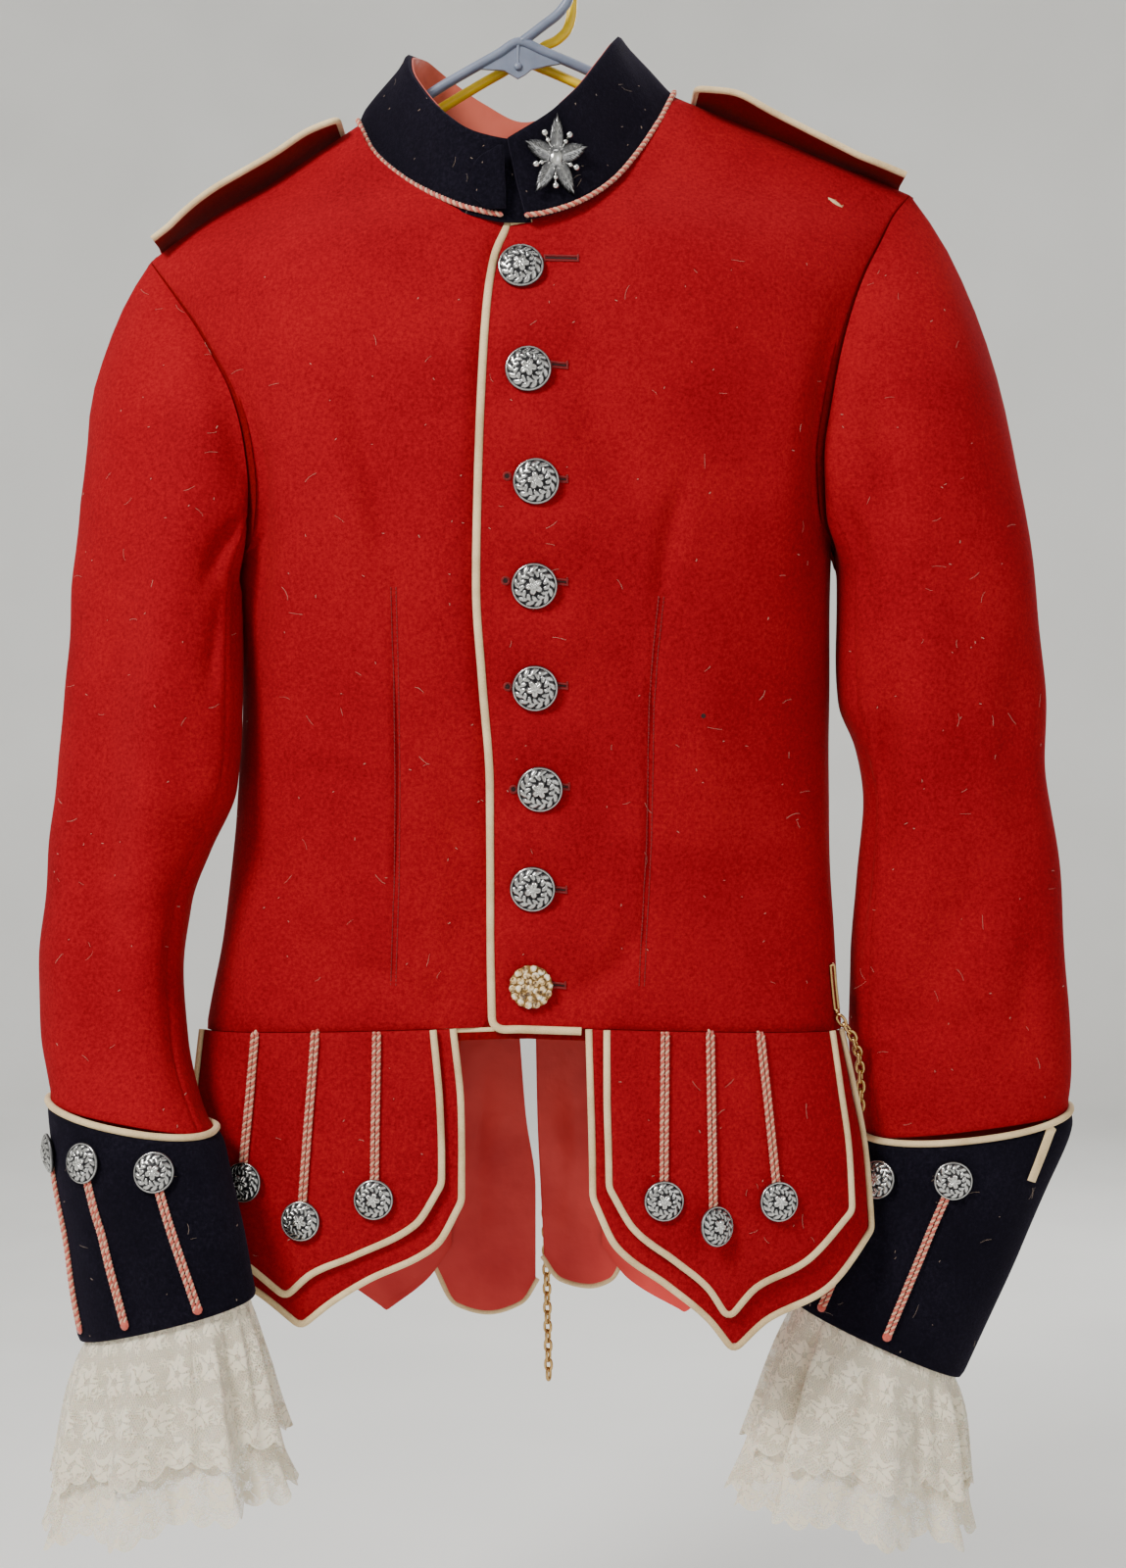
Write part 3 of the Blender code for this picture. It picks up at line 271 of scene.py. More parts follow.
# Front flaps: the edges' x by height, and the lower edge's height across from the middle to the side.
FLAPS = {
    ("top", RIGHT): (
        [(-636, -49, -180), (-680, -45, -184), (-712, -44, -187), (-800, -44, -188)],
        [
            (-722, 0), (-744, 100), (-761, 330), (-772, 500), (-785, 600), (-772, 720), (-756, 880),
            (-728, 1000)
        ],
    ),
    ("under", RIGHT): (
        [(-636, -38, -181), (-680, -33.5, -186), (-712, -33, -189), (-815, -33, -190)],
        [
            (-732, 0), (-756, 90), (-776, 340), (-788, 460), (-802, 570), (-788, 690), (-770, 870),
            (-738, 1000)
        ],
    ),
    ("top", LEFT): (
        [(-636, 52, 177), (-672, 52, 182), (-712, 53, 187), (-800, 54, 190)],
        [
            (-724, 0), (-747, 100), (-765, 270), (-780, 400), (-796, 475), (-780, 590), (-768, 790),
            (-742, 1000)
        ],
    ),
    ("under", LEFT): (
        [(-636, 42, 186), (-672, 43, 194), (-712, 44, 201), (-820, 45, 206)],
        [
            (-730, 0), (-757, 80), (-779, 260), (-798, 400), (-815, 480), (-799, 600), (-785, 810),
            (-755, 1000)
        ],
    ),
}
BACK_FLAPS = {
    RIGHT: (
        [(-644, -36, -150), (-700, -40, -156), (-840, -44, -160)],
        [(-780, 0), (-800, 120), (-819, 330), (-800, 560), (-780, 850), (-750, 1000)],
    ),
    LEFT: (
        [(-644, 40, 148), (-700, 46, 152), (-840, 52, 154)],
        [(-780, 0), (-800, 150), (-820, 480), (-800, 700), (-780, 880), (-750, 1000)],
    ),
}
TAILS = {
    RIGHT: (
        [(-648, -1, -37), (-700, 3, -39), (-745, 9, -48), (-830, 9, -56)],
        [(-800, 0), (-814, 150), (-820, 450), (-815, 750), (-790, 1000)],
    ),
    LEFT: (
        [(-648, 9, 42), (-700, 10, 50), (-745, 12, 58), (-820, 16, 66)],
        [(-786, 0), (-800, 200), (-804, 550), (-800, 800), (-784, 1000)],
    ),
}

# Buttons: height of each down the front, then x and z of those on the flaps.
FRONT_BUTTONS = [
    (2.4, -211), (6.6, -270), (10.9, -332), (9.9, -389), (10.2, -445), (12.8, -501), (8.6, -557), (7.7, -612),
]
FLAP_BUTTONS = {
    RIGHT: [(-154, -724), (-121, -744), (-80, -731)],
    LEFT: [(82, -732), (109, -746), (146, -734)],
}
CUFF_BUTTON_RING = 9.45
CUFF_BUTTON_ANGLES = {RIGHT: [20, 62, 104], LEFT: [94, 137, 172]}

# Shoulder straps: the front edge's x and z, from the neck out.
STRAP_EDGE = {
    RIGHT: [
        (-106, -112), (-123, -119), (-141, -131), (-160, -142), (-178, -152.5), (-193, -164), (-206, -177),
        (-213, -186)
    ],
    LEFT: [
        (104, -94), (124, -96), (148, -108), (173, -120.6), (190, -129), (205, -137), (217, -145),
        (225, -151)
    ],
}
STRAP_FRONT_Y, STRAP_BACK_Y = -24 * MM, 26 * MM

# Hanger routes.
BLUE_ARMS = [
    (-160, -158), (-140, -145.5), (-100, -125.5), (-51, -89.5), (-12, -66.8), (0, -60),
    (14, -65.5), (43, -78), (100, -108), (150, -127), (175, -135.5),
]
BLUE_HOOK = [
    (0, -61), (13, -51), (24, -42), (29, -34), (30.5, -24), (28, -12), (21, -3.8),
    (11, 1.6), (0, 3), (-11, 1.2), (-20, -4.6), (-25, -14),
]
# The blue hanger's web under its joint, with a round lug at its lowest point.
GUSSET = [
    (-24, -76), (-9, -76.8), (-5.5, -79), (-1, -81.7), (3, -79.6), (7, -76.3), (15.5, -74.3), (24, -73),
    (14, -66), (0, -60), (-12, -67),
]
GUSSET_HALF = 1.1 * MM
YELLOW_ARMS = [
    (-140, -153), (-100, -128), (-51, -99), (-12, -76), (2.3, -69), (14, -73), (43, -86), (100, -114),
    (150, -138)
]
YELLOW_HOOK = [
    (5, -71), (14, -60), (22, -56), (28.5, -49), (30.8, -40), (31.5, -24), (29, -8), (20, 1), (9, 5), (-2, 4),
    (-12, -1), (-18, -9),
]
YELLOW_Y = 9 * MM
SIDE_HOOK = [(183, -24, -604), (183.5, -23, -616), (184, -22, -629)]
CHAIN = [
    (186, -25, -633.5), (194, -22, -645), (199.5, -12, -662), (200.5, -8, -685), (196, -2, -706),
    (188, 6, -718), (174, 26, -730), (152, 41, -734),
    (112, 45.5, -724), (72, 49, -700), (44, 50.5, -676), (28, 50.8, -660), (18, 50.8, -664), (14, 51.5, -690),
    (15, 53, -760), (17, 54, -866),
]


def side_of(x):
    return LEFT if x > 0 else RIGHT


def body_reach(x, z, face):
    """How far the body's cloth stands from y = 0 at a point seen from the front."""
    half = BODY.at(z, "left" if x > 0 else "right")
    flat = max(0.0, 1 - abs(x / half) ** ROUNDNESS) ** (1 / ROUNDNESS)
    roll = FRONT_ROLL if face == FRONT else BACK_ROLL
    under = (RIDGE[side_of(x)].at(min(abs(x), 0.24), "z") - z) / roll
    under = min(max(under, 0.0), 1.0)
    top = (1 - (1 - under) ** SHOULDER_POWER) ** (1 / SHOULDER_POWER)
    return BODY.at(z, "front" if face == FRONT else "back") * flat * top


def body_point(x, z, face, out=0.0):
    """A point on the body's outer surface, moved out by a distance along its normal."""
    point = Vector((x, face * body_reach(x, z, face), z))
    if out == 0.0:
        return point
    return point + out * body_normal(x, z, face)


def body_normal(x, z, face):
    step = 1.5 * MM
    across = body_point(x + step, z, face) - body_point(x - step, z, face)
    down = body_point(x, z + step, face) - body_point(x, z - step, face)
    normal = across.cross(down).normalized()
    return normal if normal.y * face > 0 else -normal


def panel_rows(face, side):
    rows = list(UPPER_ROWS[(face, side)])
    middle = rows[-1][0]
    width = "left" if side == LEFT else "right"
    for low_middle, low_side in [(ARMPIT[side], ARMPIT[side])] + LOWER_ROWS[face]:
        edge = side * BODY.at(low_side * MM, width) / MM
        if face == FRONT:
            middle = FRONT_EDGE.at(low_middle * MM, "x") / MM + (UNDERLAP / MM if side == RIGHT else 0)
        rows.append((middle, low_middle, edge, low_side))
    return Table("in_x in_z out_x out_z", rows, numbered=True)


PANELS = {(face, side): panel_rows(face, side) for face in (FRONT, BACK) for side in (LEFT, RIGHT)}
LAST_ROW = len(PANELS[(FRONT, LEFT)].keys) - 1


def panel_point(face, side, across, row):
    """A panel's outer surface: across runs from the middle, 0, to the arm or side seam, 1."""
    in_x, in_z, out_x, out_z = PANELS[(face, side)].at(row)
    half = BODY.at(out_z, "left" if side == LEFT else "right")
    power = 2 / ROUNDNESS
    turn = math.asin(min(1.0, abs(out_x) / half) ** (1 / power)) if row < ARMPIT_ROW else math.pi / 2
    share = (math.sin(turn * across) / math.sin(turn)) ** power
    x, z = in_x + (out_x - in_x) * share, in_z + (out_z - in_z) * share
    reach = 0.0 if row >= ARMPIT_ROW and across >= 1 else body_reach(x, z, face)
    point = Vector((x, face * reach, z))
    if face == FRONT and side == RIGHT:
        edge = FRONT_EDGE.at(min(z, -0.187), "x")
        under = min(max((x - edge + UNDERLAP_RAMP) / (UNDERLAP_RAMP - 1.5 * MM), 0.0), 1.0)
        point.y += (LAYER + 0.8 * MM) * under * under * (3 - 2 * under)
    return point


def ring_point(side, ring, angle, out=0.0):
    """A sleeve's outer surface: angle 0 is the outer edge, 90 the front, 180 the edge by the body."""
    in_x, in_y, in_z, out_x, out_y, out_z, front, back = SLEEVE_RINGS[side].at(ring)
    inner, outer = Vector((in_x, in_y, in_z)), Vector((out_x, out_y, out_z))
    middle, half = (inner + outer) / 2, (outer - inner) / 2
    cos, sin = math.cos(math.radians(angle)), math.sin(math.radians(angle))
    deep = front if sin > 0 else back
    half_width = half.length
    along = (half_width + out) * math.copysign(abs(cos) ** 0.9, cos)
    proud = (deep + out) * math.copysign(abs(sin) ** 0.9, sin)
    point = middle + half.normalized() * along + Vector((0, -proud, 0))
    return clear_of_body(point, side)


def clear_of_body(point, side):
    """Moves a sleeve's point outwards where it would touch the body."""
    if point.z < -0.652:
        return point
    face = "front" if point.y < 0 else "back"
    deep = BODY.at(point.z, face) + SLEEVE_CLEAR
    if abs(point.y) >= deep:
        return point
    half = BODY.at(point.z, "left" if side == LEFT else "right") + SLEEVE_CLEAR
    nearest = half * (1 - abs(point.y / deep) ** ROUNDNESS) ** (1 / ROUNDNESS)
    if side * point.x < nearest:
        point = Vector((side * nearest, point.y, point.z))
    return point


def armhole_point(side, angle, out):
    """A point of the armhole's seam, and the way off the panel there. Angle 0 is the shoulder's end."""
    face = FRONT if angle <= 180 else BACK
    turn = angle if angle <= 180 else 360 - angle
    row = ARMPIT_ROW * turn / 180
    step = 0.02
    here = panel_point(face, side, 1, row)
    before = panel_point(face, side, 1 - step, row)
    above = panel_point(face, side, 1, max(row - 0.05, 0))
    below = panel_point(face, side, 1, min(row + 0.05, ARMPIT_ROW))
    edge = (below - above).normalized()
    inwards = (before - here).normalized()
    normal = inwards.cross(edge).normalized()
    if normal.y * face + normal.x * side < 0:
        normal = -normal
    off = edge.cross(normal).normalized()
    if off.dot(inwards) > 0:
        off = -off
    low = (1 - math.cos(math.radians(turn))) / 2
    return here + off * out + normal * (2.6 * MM * low)


def sleeve_point(side, angle, down):
    """A sleeve's outer surface: down is 0 at the armhole and 1 at the first ring."""
    angle %= 360
    if down >= 1:
        return ring_point(side, down - 1, angle)
    start = armhole_point(side, angle, 0.6 * MM)
    end = ring_point(side, 0, angle)
    beyond = ring_point(side, 0.25, angle)
    span = (end - start).length
    cos, sin = math.cos(math.radians(angle)), math.sin(math.radians(angle))
    leave = Vector((
        side * (0.05 + 0.32 * (1 + cos) / 2), -0.5 * sin, -(0.5 + 0.25 * (1 - cos))
    )).normalized() * span
    arrive = (beyond - end).normalized() * span
    t = down
    point = (
        start * (2 * t**3 - 3 * t**2 + 1)
        + leave * (t**3 - 2 * t**2 + t)
        + end * (3 * t**2 - 2 * t**3)
        + arrive * (t**3 - t**2)
    )
    return clear_of_body(point, side) if point.z < ARMPIT[side] * MM else point


def resampled(route, count):
    """Evenly spaced points on a smooth curve through the route's points."""
    route = np.array([tuple(p) for p in route])
    keys = np.concatenate([[0], np.cumsum(np.linalg.norm(np.diff(route, axis=0), axis=1))])
    return [Vector(smooth(keys, route, keys[-1] * i / (count - 1))) for i in range(count)]


def ring_middle(side, ring):
    return (ring_point(side, ring, 0) + ring_point(side, ring, 180)) / 2


def cuff_top(angle):
    """How far down the sleeve the cuff's top edge lies."""
    front = max(0.0, math.sin(math.radians(angle)))
    return CUFF_RING - 0.15 + CUFF_DIP / (55 * MM) * front


LACE_WAVES = 9
# The frills' rows: drop below the cuff, spread, depth of the waves and how far inside the cuff, in mm.
LACE_TIERS = {
    "upper": [
        (-9, 0.0, 0.0, 0.1), (0.5, 0.0, 0.0, 0.1), (12, 0.05, 1.8, -0.3), (42, 0.2, 4.5, 0.0),
        (76, 0.32, 5.5, -2.0)
    ],
    "lower": [
        (-9, 0.0, 0.0, 2.0), (0.5, 0.0, 0.0, 2.1), (12, 0.05, 1.8, 2.2), (40, 0.19, 4.5, 5.0),
        (80, 0.33, 5.5, 3.5), (106, 0.42, 7.0, 0.0)
    ],
}
LACE_DRIFT = {RIGHT: 0.02, LEFT: -0.14}  # how far each frill hangs to the side, by its drop
LACE_LEVEL = {RIGHT: 0.8, LEFT: 2.5}  # how soon each frill's edge comes level
LACE_SPREAD = 52 * MM


def lace_point(side, tier_row, angle):
    drop, spread, wave, inset = tier_row
    hem = ring_point(side, HEM_RING, angle, -inset * MM)
    middle = ring_middle(side, HEM_RING)
    if drop < 0:
        above = ring_point(side, HEM_RING + drop / 50, angle, -inset * MM)
        return above
    outward = (hem - middle).normalized()
    way = Vector((LACE_DRIFT[side], 0, -1)).normalized()
    wobble = wave * MM * math.cos(math.radians(angle) * LACE_WAVES)
    scallop = 2.5 * MM * math.cos(math.radians(angle) * LACE_WAVES) * min(drop / 60, 1)
    level = Vector((0, 0, (middle.z - hem.z) * spread * LACE_LEVEL[side]))
    return hem + way * (drop * MM + scallop) + outward * (spread * LACE_SPREAD + wobble) + level


def waist_z(face, x):
    """The waist seam's height, the same as the panels' lowest row."""
    side = side_of(x)
    in_x, in_z, out_x, out_z = PANELS[(face, side)].at(LAST_ROW)
    share = min(max((x - in_x) / (out_x - in_x), 0.0), 1.0)
    return in_z + (out_z - in_z) * share


def cuff_place(side, ring, angle):
    """A place on the cuff's outside and the way that it faces."""
    out = CUFF_OUT
    here = ring_point(side, ring, angle, out)
    across = ring_point(side, ring, angle + 6, out) - ring_point(side, ring, angle - 6, out)
    down = ring_point(side, ring + 0.1, angle, out) - ring_point(side, ring - 0.1, angle, out)
    normal = across.cross(down).normalized()
    if normal.dot(here - ring_middle(side, ring)) < 0:
        normal = -normal
    return here, normal


class Look:
    """A material, with short ways to add nodes to it."""

    def __init__(self, name, roughness, metallic=0.0, sheen=0.0, sheen_colour=(1, 1, 1), specular=0.4):
        self.material = bpy.data.materials.new(name)
        self.material.use_nodes = True
        self.tree = self.material.node_tree
        self.shader = self.tree.nodes["Principled BSDF"]
        for socket, value in (
            ("Roughness", roughness),
            ("Metallic", metallic),
            ("Sheen Weight", sheen),
            ("Sheen Tint", (*sheen_colour, 1)),
            ("Specular IOR Level", specular),
        ):
            self.shader.inputs[socket].default_value = value
        self.where = self.tree.nodes.new("ShaderNodeTexCoord").outputs["Object"]
        self.normal = None

    def add(self, kind, settings=None, **inputs):
        """A node, with its settings and the values or links of its inputs."""
        node = self.tree.nodes.new(kind)
        for key, value in (settings or {}).items():
            setattr(node, key, value)
        for key, value in inputs.items():
            self.feed(node.inputs[key.replace("_", " ")], value)
        return node

    def feed(self, socket, value):
        if isinstance(value, bpy.types.NodeSocket):
            self.tree.links.new(value, socket)
        else:
            socket.default_value = value

    def noise(self, scale, detail=3.0, roughness=0.6, where=None):
        node = self.add("ShaderNodeTexNoise", Scale=scale, Detail=detail, Roughness=roughness)
        self.feed(node.inputs["Vector"], where or self.where)
        return node.outputs["Fac"]

    def math(self, operation, *values):
        node = self.add("ShaderNodeMath", {"operation": operation})
        for socket, value in zip(node.inputs, values):
            self.feed(socket, value)
        return node.outputs[0]

    def step(self, value, low, high):
        """0 below low and 1 above high, smooth between. Turned round where low is above high."""
        node = self.add("ShaderNodeMapRange", {"interpolation_type": "SMOOTHSTEP"})
        self.feed(node.inputs["Value"], value)
        down = low > high
        node.inputs["From Min"].default_value = min(low, high)
        node.inputs["From Max"].default_value = max(low, high)
        node.inputs["To Min"].default_value = 1.0 if down else 0.0
        node.inputs["To Max"].default_value = 0.0 if down else 1.0
        return node.outputs["Result"]

    def ramp(self, share, stops):
        node = self.add("ShaderNodeValToRGB", Fac=share)
        marks = node.color_ramp.elements
        while len(marks) < len(stops):
            marks.new(0.5)
        for mark, (place, colour) in zip(marks, stops):
            mark.position = place
            mark.color = (*colour, 1)
        return node.outputs["Color"]

    def mix(self, share, first, second):
        node = self.add("ShaderNodeMix", {"data_type": "RGBA"})
        self.feed(node.inputs["Factor"], share)
        for socket, value in zip((node.inputs["A"], node.inputs["B"]), (first, second)):
            self.feed([s for s in node.inputs if s.name == socket.name and s.type == "RGBA"][0], value)
        return [s for s in node.outputs if s.type == "RGBA"][0]

    def colour(self, value):
        self.feed(self.shader.inputs["Base Color"], value)

    def bump(self, height, strength, distance):
        node = self.add("ShaderNodeBump", Height=height, Strength=strength, Distance=distance)
        if self.normal is not None:
            self.feed(node.inputs["Normal"], self.normal)
        self.normal = node.outputs["Normal"]
        self.feed(self.shader.inputs["Normal"], self.normal)


def wool(name, dark, mid, light, sheen, sheen_colour):
    """Milled wool: an even nap of fine short fibres, mottled at a millimetre or two."""
    look = Look(name, 0.95, sheen=sheen, sheen_colour=sheen_colour, specular=0.05)
    look.shader.inputs["Sheen Roughness"].default_value = 0.45
    broad = look.noise(14, 3, 0.5)
    mottle = look.noise(520, 4, 0.75)
    fibre = look.noise(1900, 4, 0.8)
    share = look.math("MULTIPLY_ADD", mottle, 0.75, look.math("MULTIPLY", broad, 0.3))
    share = look.math("MULTIPLY_ADD", fibre, 0.35, look.math("ADD", share, -0.2))
    look.colour(look.ramp(share, [(0.26, dark), (0.5, mid), (0.74, light)]))
    look.bump(mottle, 0.55, 0.0007)
    look.bump(fibre, 0.5, 0.0004)
    return look.material


def felt(name, dark, light):
    """Felted wool piping, a little soiled along its length."""
    look = Look(name, 0.85, sheen=0.15, specular=0.15)
    soil = look.noise(38, 4, 0.6)
    fibre = look.noise(1500, 4, 0.75)
    share = look.math("MULTIPLY_ADD", fibre, 0.45, look.math("MULTIPLY", soil, 0.55))
    look.colour(look.ramp(share, [(0.36, dark), (0.6, light)]))
    look.bump(fibre, 0.45, 0.0004)
    return look.material


def satin(name, dark, light, roughness=0.42):
    """Faded satin lining with a fine weave and soft wrinkles."""
    look = Look(name, roughness, sheen=0.05, sheen_colour=light, specular=0.22)
    fade = look.noise(9, 4, 0.6)
    weave = look.add("ShaderNodeTexWave", {"bands_direction": "Z"}, Scale=700, Distortion=1.5)
    look.feed(weave.inputs["Vector"], look.where)
    rumple = look.noise(75, 3, 0.5)
    look.colour(look.ramp(fade, [(0.3, dark), (0.7, light)]))
    look.bump(rumple, 0.35, 0.002)
    look.bump(weave.outputs["Fac"], 0.12, 0.0002)
    return look.material


def thread(name, dark, light, shine=0.35):
    """Twisted silk or cotton thread."""
    look = Look(name, 0.6, sheen=shine, specular=0.3)
    fibre = look.noise(900, 4, 0.7)
    look.colour(look.ramp(fibre, [(0.3, dark), (0.7, light)]))
    look.bump(look.noise(2600, 3, 0.7), 0.4, 0.0002)
    return look.material


def metal(name, deep, worn, bright, roughness):
    """Cast metal whose hollows have gone dark. The relief attribute says how high each point stands."""
    look = Look(name, roughness, metallic=1.0, specular=0.5)
    relief = look.add("ShaderNodeAttribute", {"attribute_name": "relief"}).outputs["Fac"]
    stain = look.noise(420, 4, 0.65)
    share = look.math("MULTIPLY_ADD", stain, 0.35, look.math("ADD", relief, -0.17))
    look.colour(look.ramp(share, [(0.12, deep), (0.42, worn), (0.8, bright)]))
    rough = look.step(share, 0.7, 0.1)
    look.feed(look.shader.inputs["Roughness"], look.math("MULTIPLY_ADD", rough, 0.35, roughness))
    look.bump(look.noise(1500, 3, 0.6), 0.25, 0.0002)
    return look.material


def plastic(name, dark, light, roughness=0.32):
    """Moulded plastic with faint flow marks and handling scratches."""
    look = Look(name, roughness, specular=0.5)
    look.shader.inputs["Subsurface Weight"].default_value = 0.08
    look.shader.inputs["Subsurface Scale"].default_value = 0.003
    flow = look.noise(45, 4, 0.6)
    look.colour(look.ramp(flow, [(0.3, dark), (0.7, light)]))
    scratch = look.noise(600, 5, 0.8)
    look.feed(look.shader.inputs["Roughness"], look.math("MULTIPLY_ADD", scratch, 0.25, roughness - 0.08))
    look.bump(scratch, 0.08, 0.0003)
    return look.material


def cut_stone(name):
    """Small cut stones set in gilt: each is a different depth of yellow."""
    look = Look(name, 0.08, specular=0.9)
    look.shader.inputs["Coat Weight"].default_value = 0.6
    tint = look.noise(330, 2, 0.5)
    look.colour(look.ramp(
        tint, [(0.38, (0.1, 0.05, 0.02)), (0.5, (0.75, 0.5, 0.2)), (0.62, (0.9, 0.85, 0.7))]
    ))
    look.bump(look.noise(2200, 2, 0.5), 0.15, 0.0002)
    return look.material


# In millimetres: the lace's mesh, and the pitch of its large and small flowers.
NET, MOTIF, SMALL_MOTIF = 1.55, 23.0, 11.5


def lace(name):
    """Machine lace: net with flowers and leaves. The UV map is in millimetres, round and down."""
    look = Look(name, 0.8, sheen=0.25, specular=0.2)
    place = look.add("ShaderNodeUVMap", {"uv_map": "cloth"}).outputs["UV"]
    bend = look.add("ShaderNodeTexNoise", Scale=0.09, Detail=2.0)
    look.feed(bend.inputs["Vector"], place)
    parts = look.add("ShaderNodeSeparateXYZ", Vector=place).outputs
    drift = look.math("MULTIPLY_ADD", bend.outputs["Fac"], 7.0, -3.5)
    around, down = look.math("ADD", parts["X"], drift), look.math("SUBTRACT", parts["Y"], drift)

    def flower(pitch, reach, petals, shift, lobe):
        """1 in a flower's petals: rows of flowers, each row half a pitch along from the last."""
        row = look.math("FLOOR", look.math("DIVIDE", down, pitch))
        odd = look.math("MULTIPLY", look.math("MODULO", row, 2.0), 0.5)
        u = look.math("ADD", look.math("DIVIDE", around, pitch), look.math("ADD", odd, shift))
        cell_u = look.math("SUBTRACT", look.math("FRACT", u), 0.5)
        cell_v = look.math("SUBTRACT", look.math("FRACT", look.math("DIVIDE", down, pitch)), 0.5)
        off = look.math("MULTIPLY", look.math("SQRT", look.math(
            "ADD", look.math("MULTIPLY", cell_u, cell_u), look.math("MULTIPLY", cell_v, cell_v))), pitch)
        turn = look.math("ARCTAN2", cell_v, cell_u)
        wave = look.math("COSINE", look.math("MULTIPLY", turn, float(petals)))
        edge = look.math("MULTIPLY_ADD", wave, lobe, reach)
        inside = look.step(look.math("SUBTRACT", edge, off), -0.25, 0.3)
        heart = look.step(off, reach * 0.2, reach * 0.3)
        vein = look.step(
            look.math("ABSOLUTE", look.math("SINE", look.math("MULTIPLY", turn, petals / 2))), 0.1, 0.28
        )
        return look.math("MULTIPLY", look.math("MULTIPLY", inside, heart), look.math("MAXIMUM", vein, 0.35))

    large = flower(MOTIF, 7.6, 5, 0.0, 1.6)
    small = flower(SMALL_MOTIF, 3.1, 4, 0.25, 1.0)
    leaf_noise = look.add("ShaderNodeTexNoise", Scale=0.16, Detail=1.0)
    look.feed(leaf_noise.inputs["Vector"], place)
    stem = look.step(
        look.math("ABSOLUTE", look.math("SUBTRACT", leaf_noise.outputs["Fac"], 0.5)), 0.022, 0.008
    )
    solid = look.math("MAXIMUM", look.math("MAXIMUM", large, small), stem)
    edge_band = look.add("ShaderNodeAttribute", {"attribute_name": "border"}).outputs["Fac"]
    solid = look.math("MAXIMUM", solid, edge_band)

    def threads(value):
        wave = look.math(
            "ABSOLUTE", look.math("SUBTRACT", look.math("FRACT", look.math("DIVIDE", value, NET)), 0.5)
        )
        return look.step(wave, 0.2, 0.33)

    slant = look.math("MULTIPLY", parts["Y"], 0.58)
    net = look.math(
        "MAXIMUM", threads(look.math("ADD", parts["X"], slant)),
        threads(look.math("SUBTRACT", parts["X"], slant))
    )
    net = look.math("MAXIMUM", net, look.math("MULTIPLY", threads(parts["Y"]), 0.6))
    cover = look.math(
        "MAXIMUM", look.math("MULTIPLY_ADD", net, 0.62, 0.08), look.math("MULTIPLY", solid, 0.99)
    )
    look.feed(look.shader.inputs["Alpha"], cover)
    tone = look.noise(30, 3, 0.5)
    look.colour(look.mix(
        look.math("MULTIPLY_ADD", tone, 0.6, 0.2), (0.7, 0.6, 0.44, 1), (0.9, 0.84, 0.7, 1)
    ))
    look.shader.inputs["Subsurface Weight"].default_value = 0.15
    look.shader.inputs["Subsurface Scale"].default_value = 0.002
    look.bump(solid, 0.6, 0.0006)
    look.bump(look.noise(1800, 3, 0.7), 0.3, 0.0002)
    return look.material


LOOKS = {
    "scarlet": wool(
        "scarlet_wool", (0.14, 0.0018, 0.0045), (0.255, 0.0034, 0.0085), (0.37, 0.01, 0.013), 0.06,
        (1, 0.12, 0.1)
    ),
    # A darker copy of the scarlet wool: painted shade, for the straps' undersides and the turned-in cloth.
    "shade": wool(
        "shaded_wool", (0.08, 0.001, 0.001), (0.16, 0.002, 0.002), (0.24, 0.005, 0.004), 0.03,
        (1, 0.2, 0.15)
    ),
    "navy": wool(
        "navy_wool", (0.0015, 0.0014, 0.003), (0.004, 0.0034, 0.007), (0.013, 0.011, 0.02), 0.05,
        (0.5, 0.4, 0.7)
    ),
    "cream": felt("cream_piping", (0.5, 0.34, 0.17), (0.82, 0.63, 0.36)),
    "lining": satin("salmon_lining", (0.42, 0.014, 0.016), (0.72, 0.07, 0.06)),
    "faded": satin("faded_lining", (0.42, 0.045, 0.035), (0.66, 0.15, 0.1)),
    "salmon": thread("salmon_thread", (0.36, 0.035, 0.025), (0.62, 0.13, 0.085)),
    "pale": thread("cream_thread", (0.5, 0.24, 0.15), (0.8, 0.5, 0.33)),
    "red_thread": thread("red_thread", (0.1, 0.002, 0.003), (0.24, 0.006, 0.007), 0.1),
    # Painted shadow: the dark inside of holes and slits.
    "dark_hole": thread("hole_shadow", (0.008, 0.0006, 0.0006), (0.03, 0.001, 0.001), 0.0),
    "lace": lace("ivory_lace"),
    "silver": metal("old_silver", (0.02, 0.02, 0.022), (0.2, 0.2, 0.205), (0.62, 0.62, 0.6), 0.2),
    "gilt": metal("gilt_brass", (0.05, 0.025, 0.008), (0.3, 0.17, 0.06), (0.72, 0.48, 0.2), 0.2),
    "stone": cut_stone("yellow_stone"),
    "lint": thread("pale_lint", (0.45, 0.3, 0.22), (0.7, 0.55, 0.42), 0.1),
    "blue": plastic("blue_grey_plastic", (0.13, 0.155, 0.22), (0.2, 0.23, 0.31)),
    "yellow": plastic("yellow_plastic", (0.75, 0.47, 0.003), (0.95, 0.66, 0.006)),
}


def grid_normals(grid, round_about):
    """Unit normals of a grid of points, across by down."""
    if round_about:
        across = np.roll(grid, -1, axis=1) - np.roll(grid, 1, axis=1)
    else:
        across = np.gradient(grid, axis=1)
    normal = np.cross(across, np.gradient(grid, axis=0))
    return normal / np.maximum(np.linalg.norm(normal, axis=2, keepdims=True), 1e-12)


def outward_normals(grid, inside, round_about):
    """The normals that face away from a point inside, or from each ring's middle."""
    normal = grid_normals(grid, round_about)
    if round_about:
        away = grid - grid.mean(axis=1, keepdims=True)
    else:
        away = grid.mean(axis=(0, 1)) - np.array(tuple(inside))
    return normal if (normal * away).sum() > 0 else -normal


